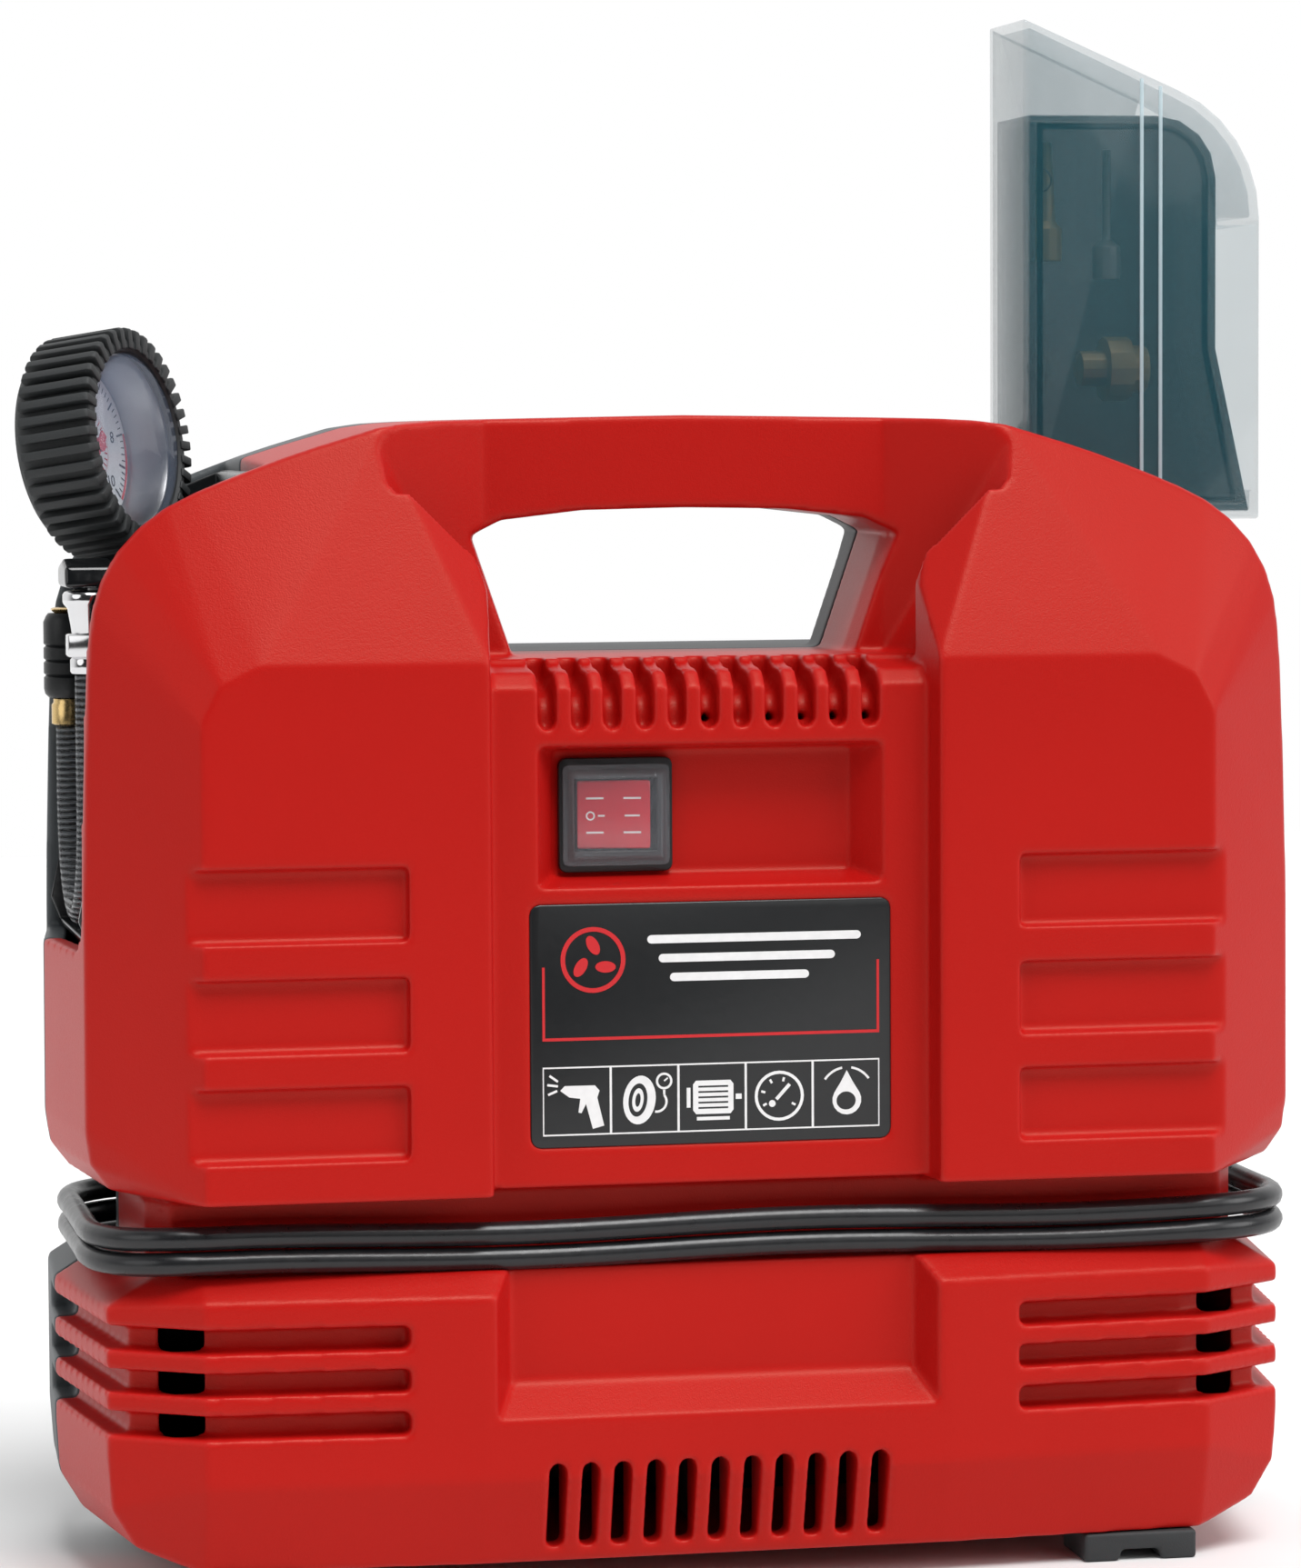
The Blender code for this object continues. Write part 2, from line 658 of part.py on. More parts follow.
def upper_cavity(side):
    """Hollow behind the panel and the wings, below the hand opening."""
    low = UPPER_BOTTOM + WALL
    top = WING_TOP - (14 if side < 0 else 8)
    if side < 0:
        ys = (EDGE_Y, PART_Y + 3)
        half = (BODY_HALF_W - WALL - 2, BODY_HALF_W + FLARE - WALL - 1)
    else:
        ys = (PART_Y - 3, REAR_EDGE_Y + 2, REAR_EDGE_Y + 8)
        half = (BODY_HALF_W + FLARE - WALL - 1, BODY_HALF_W - WALL - 0.8, BODY_HALF_W - WALL - 12)
    points = []
    for y, w in zip(ys, half):
        points += [(w, y, low + 12), (w - 9, y, low), (w - 3, y, top)]
    return hull(mirrored(points))


def bar_cavity(y0, y1):
    """Hollow of the handle bar between two depths."""
    return box(-75.0, 75.0, y0, y1, BAR_UNDER + WALL + 1, HANDLE_TOP - WALL - 4)


def shoulder_cavity(x_side, y_side):
    """Hollow of one shoulder beside the hand opening."""
    rows = ((EDGE_Y, 1.0, 0.0), (PART_Y + 3, 1.0, 0.0))
    if y_side > 0:
        rows = ((PART_Y - 3, 1.0, 0.0), (REAR_EDGE_Y - 6, 0.99, 0.0), (REAR_EDGE_Y + 6, 0.935, 6.0))
    rim = [(x, z) for x, z in shoulder(WALL + 1.5) if x > BODY_HALF_W - 64]
    low = WING_TOP - 14
    inner = OPEN_TOP_HALF + OPEN_FLARE + 18
    points = []
    for y, share, drop in rows:
        points += [(x * share, y, z - drop) for x, z in rim if z > low]
        points += [((BODY_HALF_W - 6) * share, y, low), (inner, y, low)]
        points += [(inner + 12, y, HANDLE_TOP - 14 - drop)]
    return hull([(x_side * x, y, z) for x, y, z in points])


def wing_cavity(side):
    """Hollow of one wing, in front of the body's main hollow."""
    t = WALL
    front = FRONT_Y + PAD_DEPTH + t
    low = UPPER_BOTTOM + t + 1
    back = EDGE_Y + 3
    points = [(WING_INNER + t + 3, front, low), (WING_INNER + t + 3, front, WING_TOP - 12),
              (WING_OUTER - 8, front, low), (WING_OUTER - 8, front, WING_TOP - 24),
              (WING_OUTER - 20, front, WING_TOP - 12)]
    points += [(WING_INNER + t + 3, back, low), (WING_INNER + t + 3, back, WING_TOP),
               (BODY_HALF_W - 9, back, low + 14), (BODY_HALF_W - 9, back, WING_TOP - 4),
               (WING_OUTER - 8, back, WING_TOP + 28), (WING_INNER + 25, back, WING_TOP + 28)]
    return hull([(side * x, y, z) for x, y, z in points])


def rear_shell():
    start = PART_Y + GAP
    spots = shoulder()
    back = [(x * 0.93, z - 9 if z > 200 else z + 6) for x, z in spots]
    points = flared(spots, start) + flared(spots, REAR_EDGE_Y)
    points += [(x, REAR_Y, z) for x, z in back]
    obj = make("rear_shell", hull(mirrored(points)), GREY)
    neck = hull(mirrored([
        (NECK_HALF_W + 2, start, 80), (NECK_HALF_W + 2, start, 112),
        (NECK_HALF_W, NECK_REAR_Y - 10, 80), (NECK_HALF_W, NECK_REAR_Y - 10, 112),
        (NECK_HALF_W - 6, NECK_REAR_Y, 80), (NECK_HALF_W - 6, NECK_REAR_Y, 112),
    ]))
    join(obj, "neck", neck)
    top = NECK_BOTTOM
    low = BASE_BOTTOM
    w = BASE_HALF_W + FLARE + 2.5
    rim = [(w, top - 8), (w, low + 30), (w - 1, low + 16), (w - 7, low + 6),
           (w - 18, low + 1), (w - 28, low), (w - 13, top)]
    points = [(x, start, z) for x, z in rim] + [(x - 2, REAR_EDGE_Y, z) for x, z in rim]
    points += [(w - 16, REAR_Y, top - 8), (w - 16, REAR_Y, low + 16),
               (w - 30, REAR_Y, low + 4), (w - 24, REAR_Y - 5, top), (w - 34, REAR_Y - 4, low)]
    join(obj, "base", hull(mirrored(points)))
    cut(obj, "bar_relief", bar_relief(1))
    cut(obj, "hand_opening", opening(PART_Y - 2, OPEN_FLARE_Y, True, True))
    cut(obj, "hand_flare", opening(OPEN_FLARE_Y - 1, REAR_Y + 5, True, False))
    inner = BASE_HALF_W - GROOVE_DEPTH + FLARE - WALL
    cavity = hull(mirrored([
        (inner, PART_Y - 3, low + WALL + 12), (inner, PART_Y - 3, top - WALL),
        (inner - 5, REAR_EDGE_Y, low + WALL + 12), (inner - 5, REAR_EDGE_Y, top - WALL),
        (inner - 22, REAR_Y - WALL, low + WALL + 14), (inner - 22, REAR_Y - WALL, top - 11),
        (inner - 20, PART_Y - 3, low + WALL), (inner - 26, REAR_EDGE_Y, low + WALL),
    ]))
    cut(obj, "cavity_base", cavity)
    cut(obj, "cavity_neck", box(-NECK_HALF_W + 3, NECK_HALF_W - 3, PART_Y - 3,
                                NECK_REAR_Y - 6, 70, 120))
    x0, x1, y0, z1 = POCKET
    boss = hull([(x, y, z) for x in (x0 - WALL, x1 + WALL) for y in (y0 - WALL, REAR_Y - 4)
                 for z in (UPPER_BOTTOM + 0.5, z1 + WALL)])
    cut(obj, "cavity_upper", upper_cavity(1))
    join(obj, "cord_pocket", boss)
    join(obj, "pocket_wall", box(x0 - WALL, x1 + WALL, y0 - WALL, NECK_REAR_Y, NECK_BOTTOM - 5,
                                 UPPER_BOTTOM + 7))
    cut(obj, "pocket_hollow", box(x0, x1, y0, REAR_Y + 5, NECK_BOTTOM + 0.01, z1))
    cut(obj, "cavity_shoulders", shoulder_cavity(1, 1), shoulder_cavity(-1, 1))
    cut(obj, "cavity_bar", bar_cavity(PART_Y - 3, BAR_REAR_Y - SCREW_DEEP - WALL))
    cut(obj, "bay", bay_window(PART_Y - BAY_CORNER, BAY_REAR_Y, BAY_CORNER))
    cut(obj, "case_window", box(GUIDE_INNER_X, 220.0, PART_Y - 4, case_rear() + 3.0,
                                WINDOW_SILL, 400.0))
    cut(obj, "grooves", *grooves(1, PART_Y + GAP), *grooves(-1, PART_Y + GAP))
    cut(obj, "screw_wells", *[rod(SCREW_R + 1, -SCREW_DEEP, 8, (x, y, z), (0, 1, 0), 12)
                              for x, y, z in SCREWS])
    return obj


def case_rear():
    return CASE_FRONT_Y + CASE_DEPTH


def label_plate():
    half = LABEL_W / 2
    outline = round_rect(-half, half, LABEL_BOTTOM, LABEL_BOTTOM + LABEL_H, 2.7)
    seat = PANEL_Y + LABEL_SINK - GAP
    return make("label_plate", prism(outline, "Y", seat - LABEL_THICK, seat), BLACK)


def foot(name, x, y):
    """A rubber foot with a slot across its tread and a stem under the base."""
    outline = [(x - 15.5, BASE_BOTTOM - GAP), (x - 15.5, 0), (x - 6, 0), (x - 5, 3.0),
               (x + 5, 3.0), (x + 6, 0), (x + 15.5, 0), (x + 15.5, BASE_BOTTOM - GAP)]
    return make(name, prism(outline, "Y", y - 11, y + 11), RUBBER)


def housing_screw(name, x, y, z):
    """A pan-head screw with a driver slot, sunk in its well in the back."""
    r = SCREW_R
    base = y - SCREW_DEEP + GAP
    head = turned([(0, 0), (r, 0), (r, 1.2), (r - 1.2, 2.2), (0, 2.2)], (x, base, z), (0, 1, 0), 12)
    obj = make(name, head, STEEL, smooth=30)
    return cut(obj, "slot", box(x - 2.2, x + 2.2, base + 1.2, base + 4, z - 0.5, z + 0.5))


# ------------------------------------------------------------------ switch

def switch():
    front = SWITCH_FLOOR_Y - GAP
    half_w = BEZEL_W / 2
    half_h = BEZEL_H / 2
    outline = round_rect(SWITCH_X - half_w, SWITCH_X + half_w,
                         SWITCH_Z - half_h, SWITCH_Z + half_h, 2.0)
    bezel = make("switch_bezel", prism(outline, "Y", front - BEZEL_THICK, front), BLACK)
    well_w = ROCKER_W / 2 + RUN
    well_h = ROCKER_H / 2 + RUN
    body = box(SWITCH_X - 11.5, SWITCH_X + 11.5, front - 0.5, front + 18,
               SWITCH_Z - 10.7, SWITCH_Z + 10.7)
    join(bezel, "body", body)
    cut(bezel, "well", box(SWITCH_X - well_w, SWITCH_X + well_w, front - 8, front + 14,
                           SWITCH_Z - well_h + 0.5, SWITCH_Z + well_h - 0.5))
    axis_y = front + 2.0
    half_w = ROCKER_W / 2 - 0.7
    neutral = [(-half_w, -3.6), (0, -3.0), (half_w, -3.6), (6.5, 4), (2.5, 7), (-2.5, 7),
               (-6.5, 4)]
    lean = math.radians(-ROCKER_TILT)
    outline = [(SWITCH_X + x * math.cos(lean) - y * math.sin(lean),
                axis_y + x * math.sin(lean) + y * math.cos(lean)) for x, y in neutral]
    half = ROCKER_H / 2 - RUN
    make("rocker", prism(outline, "Z", SWITCH_Z - half, SWITCH_Z + half), SIGNAL,
         at=(SWITCH_X, axis_y, SWITCH_Z))
    foot_y = front - BEZEL_THICK - GAP
    wide = well_w + 2.0
    tall = well_h + 2.0
    deep = CAP_HEIGHT
    rim = [(wide, 0), (wide, -deep * 0.55), (wide - 1.6, -deep)]
    points = [(SWITCH_X + sx * (w), foot_y + y, SWITCH_Z + sz * (w - wide + tall))
              for w, y in rim for sx in (-1, 1) for sz in (-1, 1)]
    cap = make("switch_cap", hull(points), CLEAR)
    w = wide - 1.0
    t = tall - 1.0
    inner = [(SWITCH_X + sx * (w - k), foot_y + y, SWITCH_Z + sz * (t - k))
             for k, y in ((0, 3), (0, -deep * 0.5), (1.2, -deep + 1.0))
             for sx in (-1, 1) for sz in (-1, 1)]
    cut(cap, "inside", hull(inner))
    flange = round_rect(SWITCH_X - wide - 1.2, SWITCH_X + wide + 1.2,
                        SWITCH_Z - tall - 1.2, SWITCH_Z + tall + 1.2, 1.5, 2)
    hole = box(SWITCH_X - w, SWITCH_X + w, foot_y - 3, foot_y + 3, SWITCH_Z - t, SWITCH_Z + t)
    join(cap, "flange", prism(flange, "Y", foot_y - 0.9, foot_y))
    cut(cap, "flange_hole", hole)


# ------------------------------------------------------------------ bays

def shoulder_height(x, inset):
    """Height of the silhouette at a distance from the middle."""
    spots = sorted(shoulder(inset))
    tops = [(a, z) for a, z in spots if z > UPPER_BOTTOM + 60]
    return float(np.interp(x, [a for a, _ in tops], [z for _, z in tops]))


def tool_bay_liner():
    """Black tray of the tool bay, open at the flank and the top."""
    inner = -BAY_INNER_X + GAP
    outer = BODY_HALF_W + 1.0
    low = BAY_FLOOR + GAP
    rim = [(x, z) for x, z in shoulder(1.2) if inner < x and z > low + 12]
    outline = [(inner, low), (inner, shoulder_height(inner, 1.2))] + rim
    outline += [(outer, low + 8), (outer - 3, low)]
    outline = [(-x, z) for x, z in outline]
    y0 = BAY_FRONT_Y + GAP
    y1 = BAY_REAR_Y - GAP
    liner = make("tool_bay_liner", prism(outline, "Y", y0, y1), BLACK)
    hollow = [(-inner - LINER_WALL, low + LINER_WALL), (-inner - LINER_WALL, 400.0),
              (-260.0, 400.0), (-260.0, low + LINER_WALL)]
    cut(liner, "hollow", prism(hollow, "Y", y0 + LINER_WALL, y1 - LINER_WALL))
    return boolean(liner, bay_window(y0, y1, BAY_CORNER, low), "INTERSECT", "corner")


def case_guide():
    """Channel that the accessory case slides in, open at the flank and top."""
    x0 = GUIDE_INNER_X + GAP
    x1 = BODY_HALF_W + FLARE - WALL - 4.5
    y0 = CASE_FRONT_Y - RUN - GUIDE_WALL
    y1 = case_rear() + RUN + GUIDE_WALL
    sill = WINDOW_SILL - GAP
    top_in = shoulder_height(x0, 2.0) - 6
    outline = [
        (x0, GUIDE_FLOOR + 2.5), (x1 - 12, GUIDE_FLOOR + 2.5), (x1 - 4, GUIDE_FLOOR + 16),
        (x1 - 4, sill), (x1 - 4, top_in - 45), (x1 - 14, top_in - 26),
        (x1 - 40, top_in - 14), (x0, top_in - 4),
    ]
    guide = make("case_guide", prism(outline, "Y", y0, y1), GREY)
    t = GUIDE_WALL
    low = GUIDE_FLOOR + 2.5 + t
    hollow = [(x0 + t, low), (x1 - 13, low), (x1 - 4 - t, GUIDE_FLOOR + 16), (x1 - 4 - t, sill - 6),
              (260.0, sill - 6), (260.0, 400.0), (x0 + t, 400.0)]
    return cut(guide, "hollow", prism(hollow, "Y", y0 + t, y1 - t))


def case_outline(inset=0.0):
    """Front outline of the raised accessory case, as (x, z)."""
    i = inset
    low = CASE_TOP - CASE_LENGTH
    step = WINDOW_SILL + CASE_TRAVEL + 3.0
    right = case_foot_right()
    curve = arc(CASE_RIGHT - CASE_CURVE, CASE_TOP - CASE_CURVE_DROP, CASE_CURVE - i, 0, 68, 6)
    left = CASE_LEFT + i
    return [(left, low + i), (right - 13 - i, low + i), (right - i, low + 12 + i),
            (right - i, step + i), (CASE_RIGHT - i, step + i)] + curve + [(left, CASE_TOP - 1.1 * i)]


def case_foot_right():
    """Right edge of the case's foot, which stands behind the closed flank."""
    return min(BODY_HALF_W + FLARE - WALL - 12.5, CASE_RIGHT - 15)


def tray_outline(inset, wall=0.0):
    """Outline of the tray inside the case; `wall` gives its inner side."""
    w = wall
    left = CASE_LEFT + inset + w
    low = CASE_TOP - CASE_LENGTH + inset + w
    top = CASE_TOP - TRAY_DROP - w
    foot_x = case_foot_right() - inset - w
    shelf = WINDOW_SILL + CASE_TRAVEL + 3.0 + inset + w
    wide = CASE_RIGHT - inset - w
    side = TRAY_RIGHT - w
    turn = 17.0
    curve = arc(TRAY_RIGHT - turn, CASE_TOP - TRAY_DROP - turn, turn - w, 0, 90, 4)
    return [(left, low), (foot_x - 13, low), (foot_x, low + 13), (foot_x, shelf),
            (wide, shelf), (side, shelf + 45)] + curve + [(left, top)]


def accessory_case():
    y0 = CASE_FRONT_Y
    y1 = case_rear()
    cover = make("case_cover", prism(case_outline(), "Y", y0, y1), SMOKE)
    cut(cover, "inside", prism(case_outline(CASE_WALL), "Y", y0 + CASE_WALL, y1 + 3))
    ledge = CASE_TOP - CASE_CURVE_DROP
    step = WINDOW_SILL + CASE_TRAVEL + 3.0
    cut(cover, "open_side", box(CASE_RIGHT - CASE_WALL - 1, CASE_RIGHT + 3, y0 + CASE_WALL, y1 + 3,
                                step + CASE_WALL + 6, ledge - CASE_WALL))
    join(cover, "ledge", box(TRAY_RIGHT + GAP, CASE_RIGHT - 0.5, y0 + 1, y1, ledge - CASE_WALL, ledge))
    i = CASE_WALL + GAP
    tray = make("case_tray", prism(tray_outline(i), "Y", y0 + i, y1), SMOKE)
    cut(tray, "inside", prism(tray_outline(i, CASE_WALL), "Y", y0 + i - 3, y1 - CASE_WALL))
    middle = (y0 + y1) / 2
    brass = turned([(0, -9), (5, -9), (5, -2), (9, -2), (9, 5), (6.5, 5), (6.5, 10), (0, 10)],
                   (134, middle, 319), (1, 0, 0), 12)
    make("brass_adapter", brass, BRASS, smooth=30)
    nozzle = turned([(0, -17), (5, -17), (5, -8), (3.2, -6), (2.0, 16), (0, 16)],
                    (115, middle, 366), (0, 0, 1), 12)
    make("cone_nozzle", nozzle, BRASS, smooth=30)
    needle = turned([(0, -18), (4, -18), (4, -9), (1.2, -7), (1.2, 18), (0, 18)],
                    (133, middle, 362), (0, 0, 1), 12)
    make("ball_needle", needle, CHROME, smooth=30)


# ------------------------------------------------------------------ cord

def winding_outline(grow=0.0):
    w = WIND_HALF_W + grow
    d = WIND_HALF_D + grow
    return round_rect(-w, w, -d, d, WIND_CORNER + grow, 5)


def power_cord():
    low = NECK_BOTTOM + GAP
    high = low + 2 * CORD_D + 0.3
    thick = CORD_D + 0.4
    coil = make("power_cord_winding", prism(winding_outline(), "Z", low, high), CORD)
    cut(coil, "inside", prism(winding_outline(-thick), "Z", low - 5, high + 5))
    x0, x1, y0, z1 = POCKET
    z_exit = NECK_BOTTOM + 42.0
    y_exit = REAR_Y - 15.0
    tip = x1 - 24.0
    gland = turned([(0, -24), (3.9, -24), (6.5, -1), (9, -1), (9, 0), (0, 0)],
                   (x1 - GAP, y_exit, z_exit), (1, 0, 0), 16)
    make("cord_gland", gland, RUBBER, smooth=30)
    outside = WIND_HALF_D + GAP + CORD_D / 2
    start = tip - 2 * GAP
    route = [
        (start, y_exit, z_exit), (start - 9, y_exit + 0.8, z_exit - 1.0),
        (start - 25, y_exit + 7.5, z_exit - 12), (start - 38, outside, z_exit - 24),
        (start - 50, outside, z_exit - 34), (start - 62, outside, z_exit - 37.8),
    ]
    tube("power_cord_lead", route, CORD_D, CORD, 12)
    top = high + GAP + CORD_D / 2
    relief = start - 112.0
    ring_y = WIND_HALF_D - thick / 2
    route = [
        (start - 62, ring_y, top), (start - 72, ring_y, top + 1.0),
        (start - 88, ring_y - 2, z_exit - 12.0), (relief + 8, y_exit, z_exit - 1.0),
        (relief, y_exit, z_exit),
    ]
    tube("power_cord_end", route, CORD_D, CORD, 11)
    body = turned([(0, 0), (4.2, 0), (6.8, 20), (10, 22), (10, 24), (0, 24)],
                  (relief - GAP, y_exit, z_exit), (-1, 0, 0), 16)
    make("plug_relief", body, RUBBER, smooth=30)
    face = relief - 2 * GAP - 24
    plug = make("mains_plug", hull([
        (face, y_exit + y, z_exit + z) for y in (-8, 8) for z in (-10, 10)] + [
        (face - 30, y_exit + y, z_exit + z) for y in (-11, 11) for z in (-13, 13)] + [
        (face - 36, y_exit + y, z_exit + z) for y in (-13, 13) for z in (-8, 8)] + [
        (face - 36, y_exit + y, z_exit + z) for y in (-7, 7) for z in (-17, 17)]), RUBBER)
    for name, side in (("upper", 1), ("lower", -1)):
        join(plug, f"pin_{name}", rod(2.4, 30, 52, (face, y_exit, z_exit + side * 9.5),
                                      (-1, 0, 0), 12))


# ------------------------------------------------------------------ motor and pump

def motor():
    x0, x1 = MOTOR_X
    middle = (0, 0, CRANK_Z)
    along = (1, 0, 0)
    air = ROTOR_R + 1.5
    stator = turned([(air, x0), (MOTOR_R - 4, x0), (MOTOR_R, x0 + 8), (MOTOR_R, x1 - 8),
                     (MOTOR_R - 4, x1), (air, x1)], middle, along, 28)
    make("motor_stator", stator, COPPER, smooth=30)
    for name, y in (("front", -1), ("rear", 1)):
        cradle = box(x0 + 14, x1 - 14, *sorted((y * 12.0, y * 24.0)),
                     BASE_BOTTOM + WALL + GAP, CRANK_Z)
        obj = make(f"motor_cradle_{name}", cradle, BLACK)
        cut(obj, "seat", rod(MOTOR_R + GAP, x0, x1, middle, along, 28))
    for name, x in (("left", x0 - 4.3), ("right", x1 + 4.3)):
        bracket = ring(8 + GAP, MOTOR_R - 2, x - 4, x + 4, middle, along)
        make(f"motor_bracket_{name}", bracket, ALLOY, smooth=30)
        make(f"bearing_{name}", ring(SHAFT_R + 0.1, 8.0, x - 3.5, x + 3.5, middle, along, 16),
             STEEL, smooth=30)
    rotor = rod(ROTOR_R, x0 + 6, x1 - 6, middle, along)
    obj = make("motor_rotor", rotor, STEEL, at=(0, 0, CRANK_Z), smooth=30)
    cut(obj, "bore", rod(SHAFT_R + GAP, x0, x1, middle, along, 12))
    crank0 = ROD_X - 16
    shaft = rod(SHAFT_R, FAN_X[0] - 2, crank0 - GAP, middle, along, 12)
    make("motor_shaft", shaft, STEEL, at=(0, 0, CRANK_Z), smooth=30)
    hub = ring(SHAFT_R + GAP, 9, FAN_X[0], FAN_X[1], middle, along, 12)
    fan = make("cooling_fan", hub, BLACK, at=(0, 0, CRANK_Z), smooth=30)
    middle_x = (FAN_X[0] + FAN_X[1]) / 2
    chord = (FAN_X[1] - FAN_X[0]) / 2 - 1
    for k in range(6):
        blade = box(-chord, chord, -1.0, 1.0, 7.5, FAN_R)
        for turn, about in ((28, "Z"), (60 * k, "X")):
            spin = Matrix.Rotation(math.radians(turn), 3, about)
            bmesh.ops.rotate(blade, cent=(0, 0, 0), verts=blade.verts, matrix=spin)
        bmesh.ops.translate(blade, vec=(middle_x, 0, CRANK_Z), verts=blade.verts)
        join(fan, f"blade_{k}", blade)
    pin_z = -CRANK_THROW
    disc = hull([(x, y, CRANK_Z + z) for x in (crank0, crank0 + 8) for y, z in
                 arc(0, 0, 20, 20, 160, 8) + arc(0, 0, 14, 200, 340, 8)])
    crank = make("crank_disc", disc, STEEL, at=(0, 0, CRANK_Z), smooth=30)
    pin = rod(5.0, crank0 + 7, ROD_X + 7, (0, 0, CRANK_Z + pin_z), along, 16)
    join(crank, "pin", pin)


def pump():
    big = (ROD_X, 0, CRANK_Z - CRANK_THROW)
    small_z = CYL_BOTTOM + 14.0
    half = 4.5
    outline = [(4.5, big[2]), (4.0, small_z), (-4.0, small_z), (-4.5, big[2])]
    rod_obj = make("connecting_rod", prism(outline, "X", ROD_X - half, ROD_X + half), ALLOY,
                   at=big)
    join(rod_obj, "big_end", rod(10.5, -half, half, big, (1, 0, 0), 20))
    join(rod_obj, "small_end", rod(6.5, -half, half, (ROD_X, 0, small_z), (1, 0, 0), 16))
    make("rod_bearing", ring(5.1, 8.0, -half + 0.5, half - 0.5, big, (1, 0, 0), 16), STEEL,
         at=big, smooth=30)
    cut(rod_obj, "eye", rod(8.0 + 0.1, -half - 1, half + 1, big, (1, 0, 0), 16))
    stroke = 2 * CRANK_THROW
    top = small_z + 6.5 + stroke + 1.5
    crown = 5.0
    outer = BORE_R - 0.35
    cup = turned([(0, top), (outer - 4, top), (outer - 4, CYL_BOTTOM + 2), (outer, CYL_BOTTOM + 2),
                  (outer, top + 1), (outer - 1.4, top + 1), (outer - 1.4, top + 3.4),
                  (outer, top + 3.4), (outer, top + crown), (0, top + crown)],
                 (ROD_X, 0, 0), (0, 0, 1), 28)
    make("piston", cup, ALLOY, smooth=30)
    make("piston_ring", ring(outer - 1.1, BORE_R - 0.2, top + 1.3, top + 3.1, (ROD_X, 0, 0)),
         BLACK, smooth=30)
    fins = [(BORE_R, CYL_BOTTOM), (BORE_R + 3, CYL_BOTTOM)]
    count = 4
    gap = (CYL_TOP - CYL_BOTTOM - 18) / count
    for k in range(count):
        z = CYL_BOTTOM + 14 + k * gap
        fins += [(BORE_R + 3, z), (BORE_R + 9, z), (BORE_R + 9, z + 2.6), (BORE_R + 3, z + 2.6)]
    fins += [(BORE_R + 3, CYL_TOP), (BORE_R, CYL_TOP)]
    make("pump_cylinder", turned(fins, (ROD_X, 0, 0), (0, 0, 1), 28), ALLOY, smooth=30)
    plate_z = CYL_TOP + GAP
    make("valve_plate", rod(BORE_R + 8, plate_z, plate_z + 3, (ROD_X, 0, 0), (0, 0, 1), 28),
         STEEL, smooth=30)
    head_z = plate_z + 3 + GAP
    head = make("cylinder_head", rod(BORE_R + 8, head_z, head_z + 16, (ROD_X, 0, 0), (0, 0, 1), 28),
                ALLOY, smooth=30)
    cut(head, "fins", *[box(ROD_X - 40, ROD_X + 40, y - 1.6, y + 1.6, head_z + 8, head_z + 20)
                        for y in (-18, -9, 0, 9, 18)])
    join(head, "outlet", rod(4.5, 20, 36, (ROD_X, 0, head_z + 6), (-1, 0, 0), 12))
    frame = box(ROD_X - 27, ROD_X + 27, -29, 29, CYL_BOTTOM - 5, CYL_BOTTOM - GAP)
    holder = make("pump_frame", frame, ALLOY)
    join(holder, "wall", box(ROD_X - 27, ROD_X - 22, -29, 29, BASE_BOTTOM + WALL + GAP,
                             CYL_BOTTOM - 2))
    cut(holder, "bore", rod(BORE_R + 1, CYL_BOTTOM - 20, CYL_BOTTOM + 5, (ROD_X, 0, 0),
                            (0, 0, 1), 28))
    cut(holder, "shaft_hole", rod(9, -40, 40, (ROD_X, 0, CRANK_Z), (1, 0, 0), 16))
    cut(holder, "rod_way", box(ROD_X - 40, ROD_X - 15, -14, 14, CYL_BOTTOM - 9, CYL_BOTTOM + 3))
    valve = turned([(0, 0), (4.5, 0), (4.5, 6), (6, 6), (6, 14), (2.5, 14), (2.5, 19), (0, 19)],
                   (ROD_X, -9.0, head_z + 16 + GAP), (0, 0, 1), 12)
    make("safety_valve", valve, BRASS, smooth=30)
    out = (ROD_X - 36 - 2 * GAP, 0, head_z + 6)
    end = (BAY_INNER_X + 16.0, 6.0, BAY_FLOOR + 22.0)
    route = [out, (out[0] - 6, 0, out[2]), (out[0] - 14, 0, out[2]), (out[0] - 45, 3, out[2] + 12),
             (end[0] + 26, 6, end[2]), (end[0] + 9, 6, end[2]), end]
    tube("air_line", route, 8.0, RUBBER, 22)
    coupling = turned([(0, 0), (8, 0), (8, 4), (6, 4), (6, 13), (4.2, 15.2), (0, 15.2)],
                      (BAY_INNER_X + GAP * 2, 6.0, end[2]), (1, 0, 0), 12)
    make("outlet_coupling", coupling, BRASS, smooth=30)


# ------------------------------------------------------------------ inflator

def gauge_axis():
    turn = math.radians(GAUGE_TURN)
    tilt = math.radians(GAUGE_TILT)
    return Vector((math.cos(turn) * math.cos(tilt), -math.sin(turn) * math.cos(tilt),
                   math.sin(tilt)))


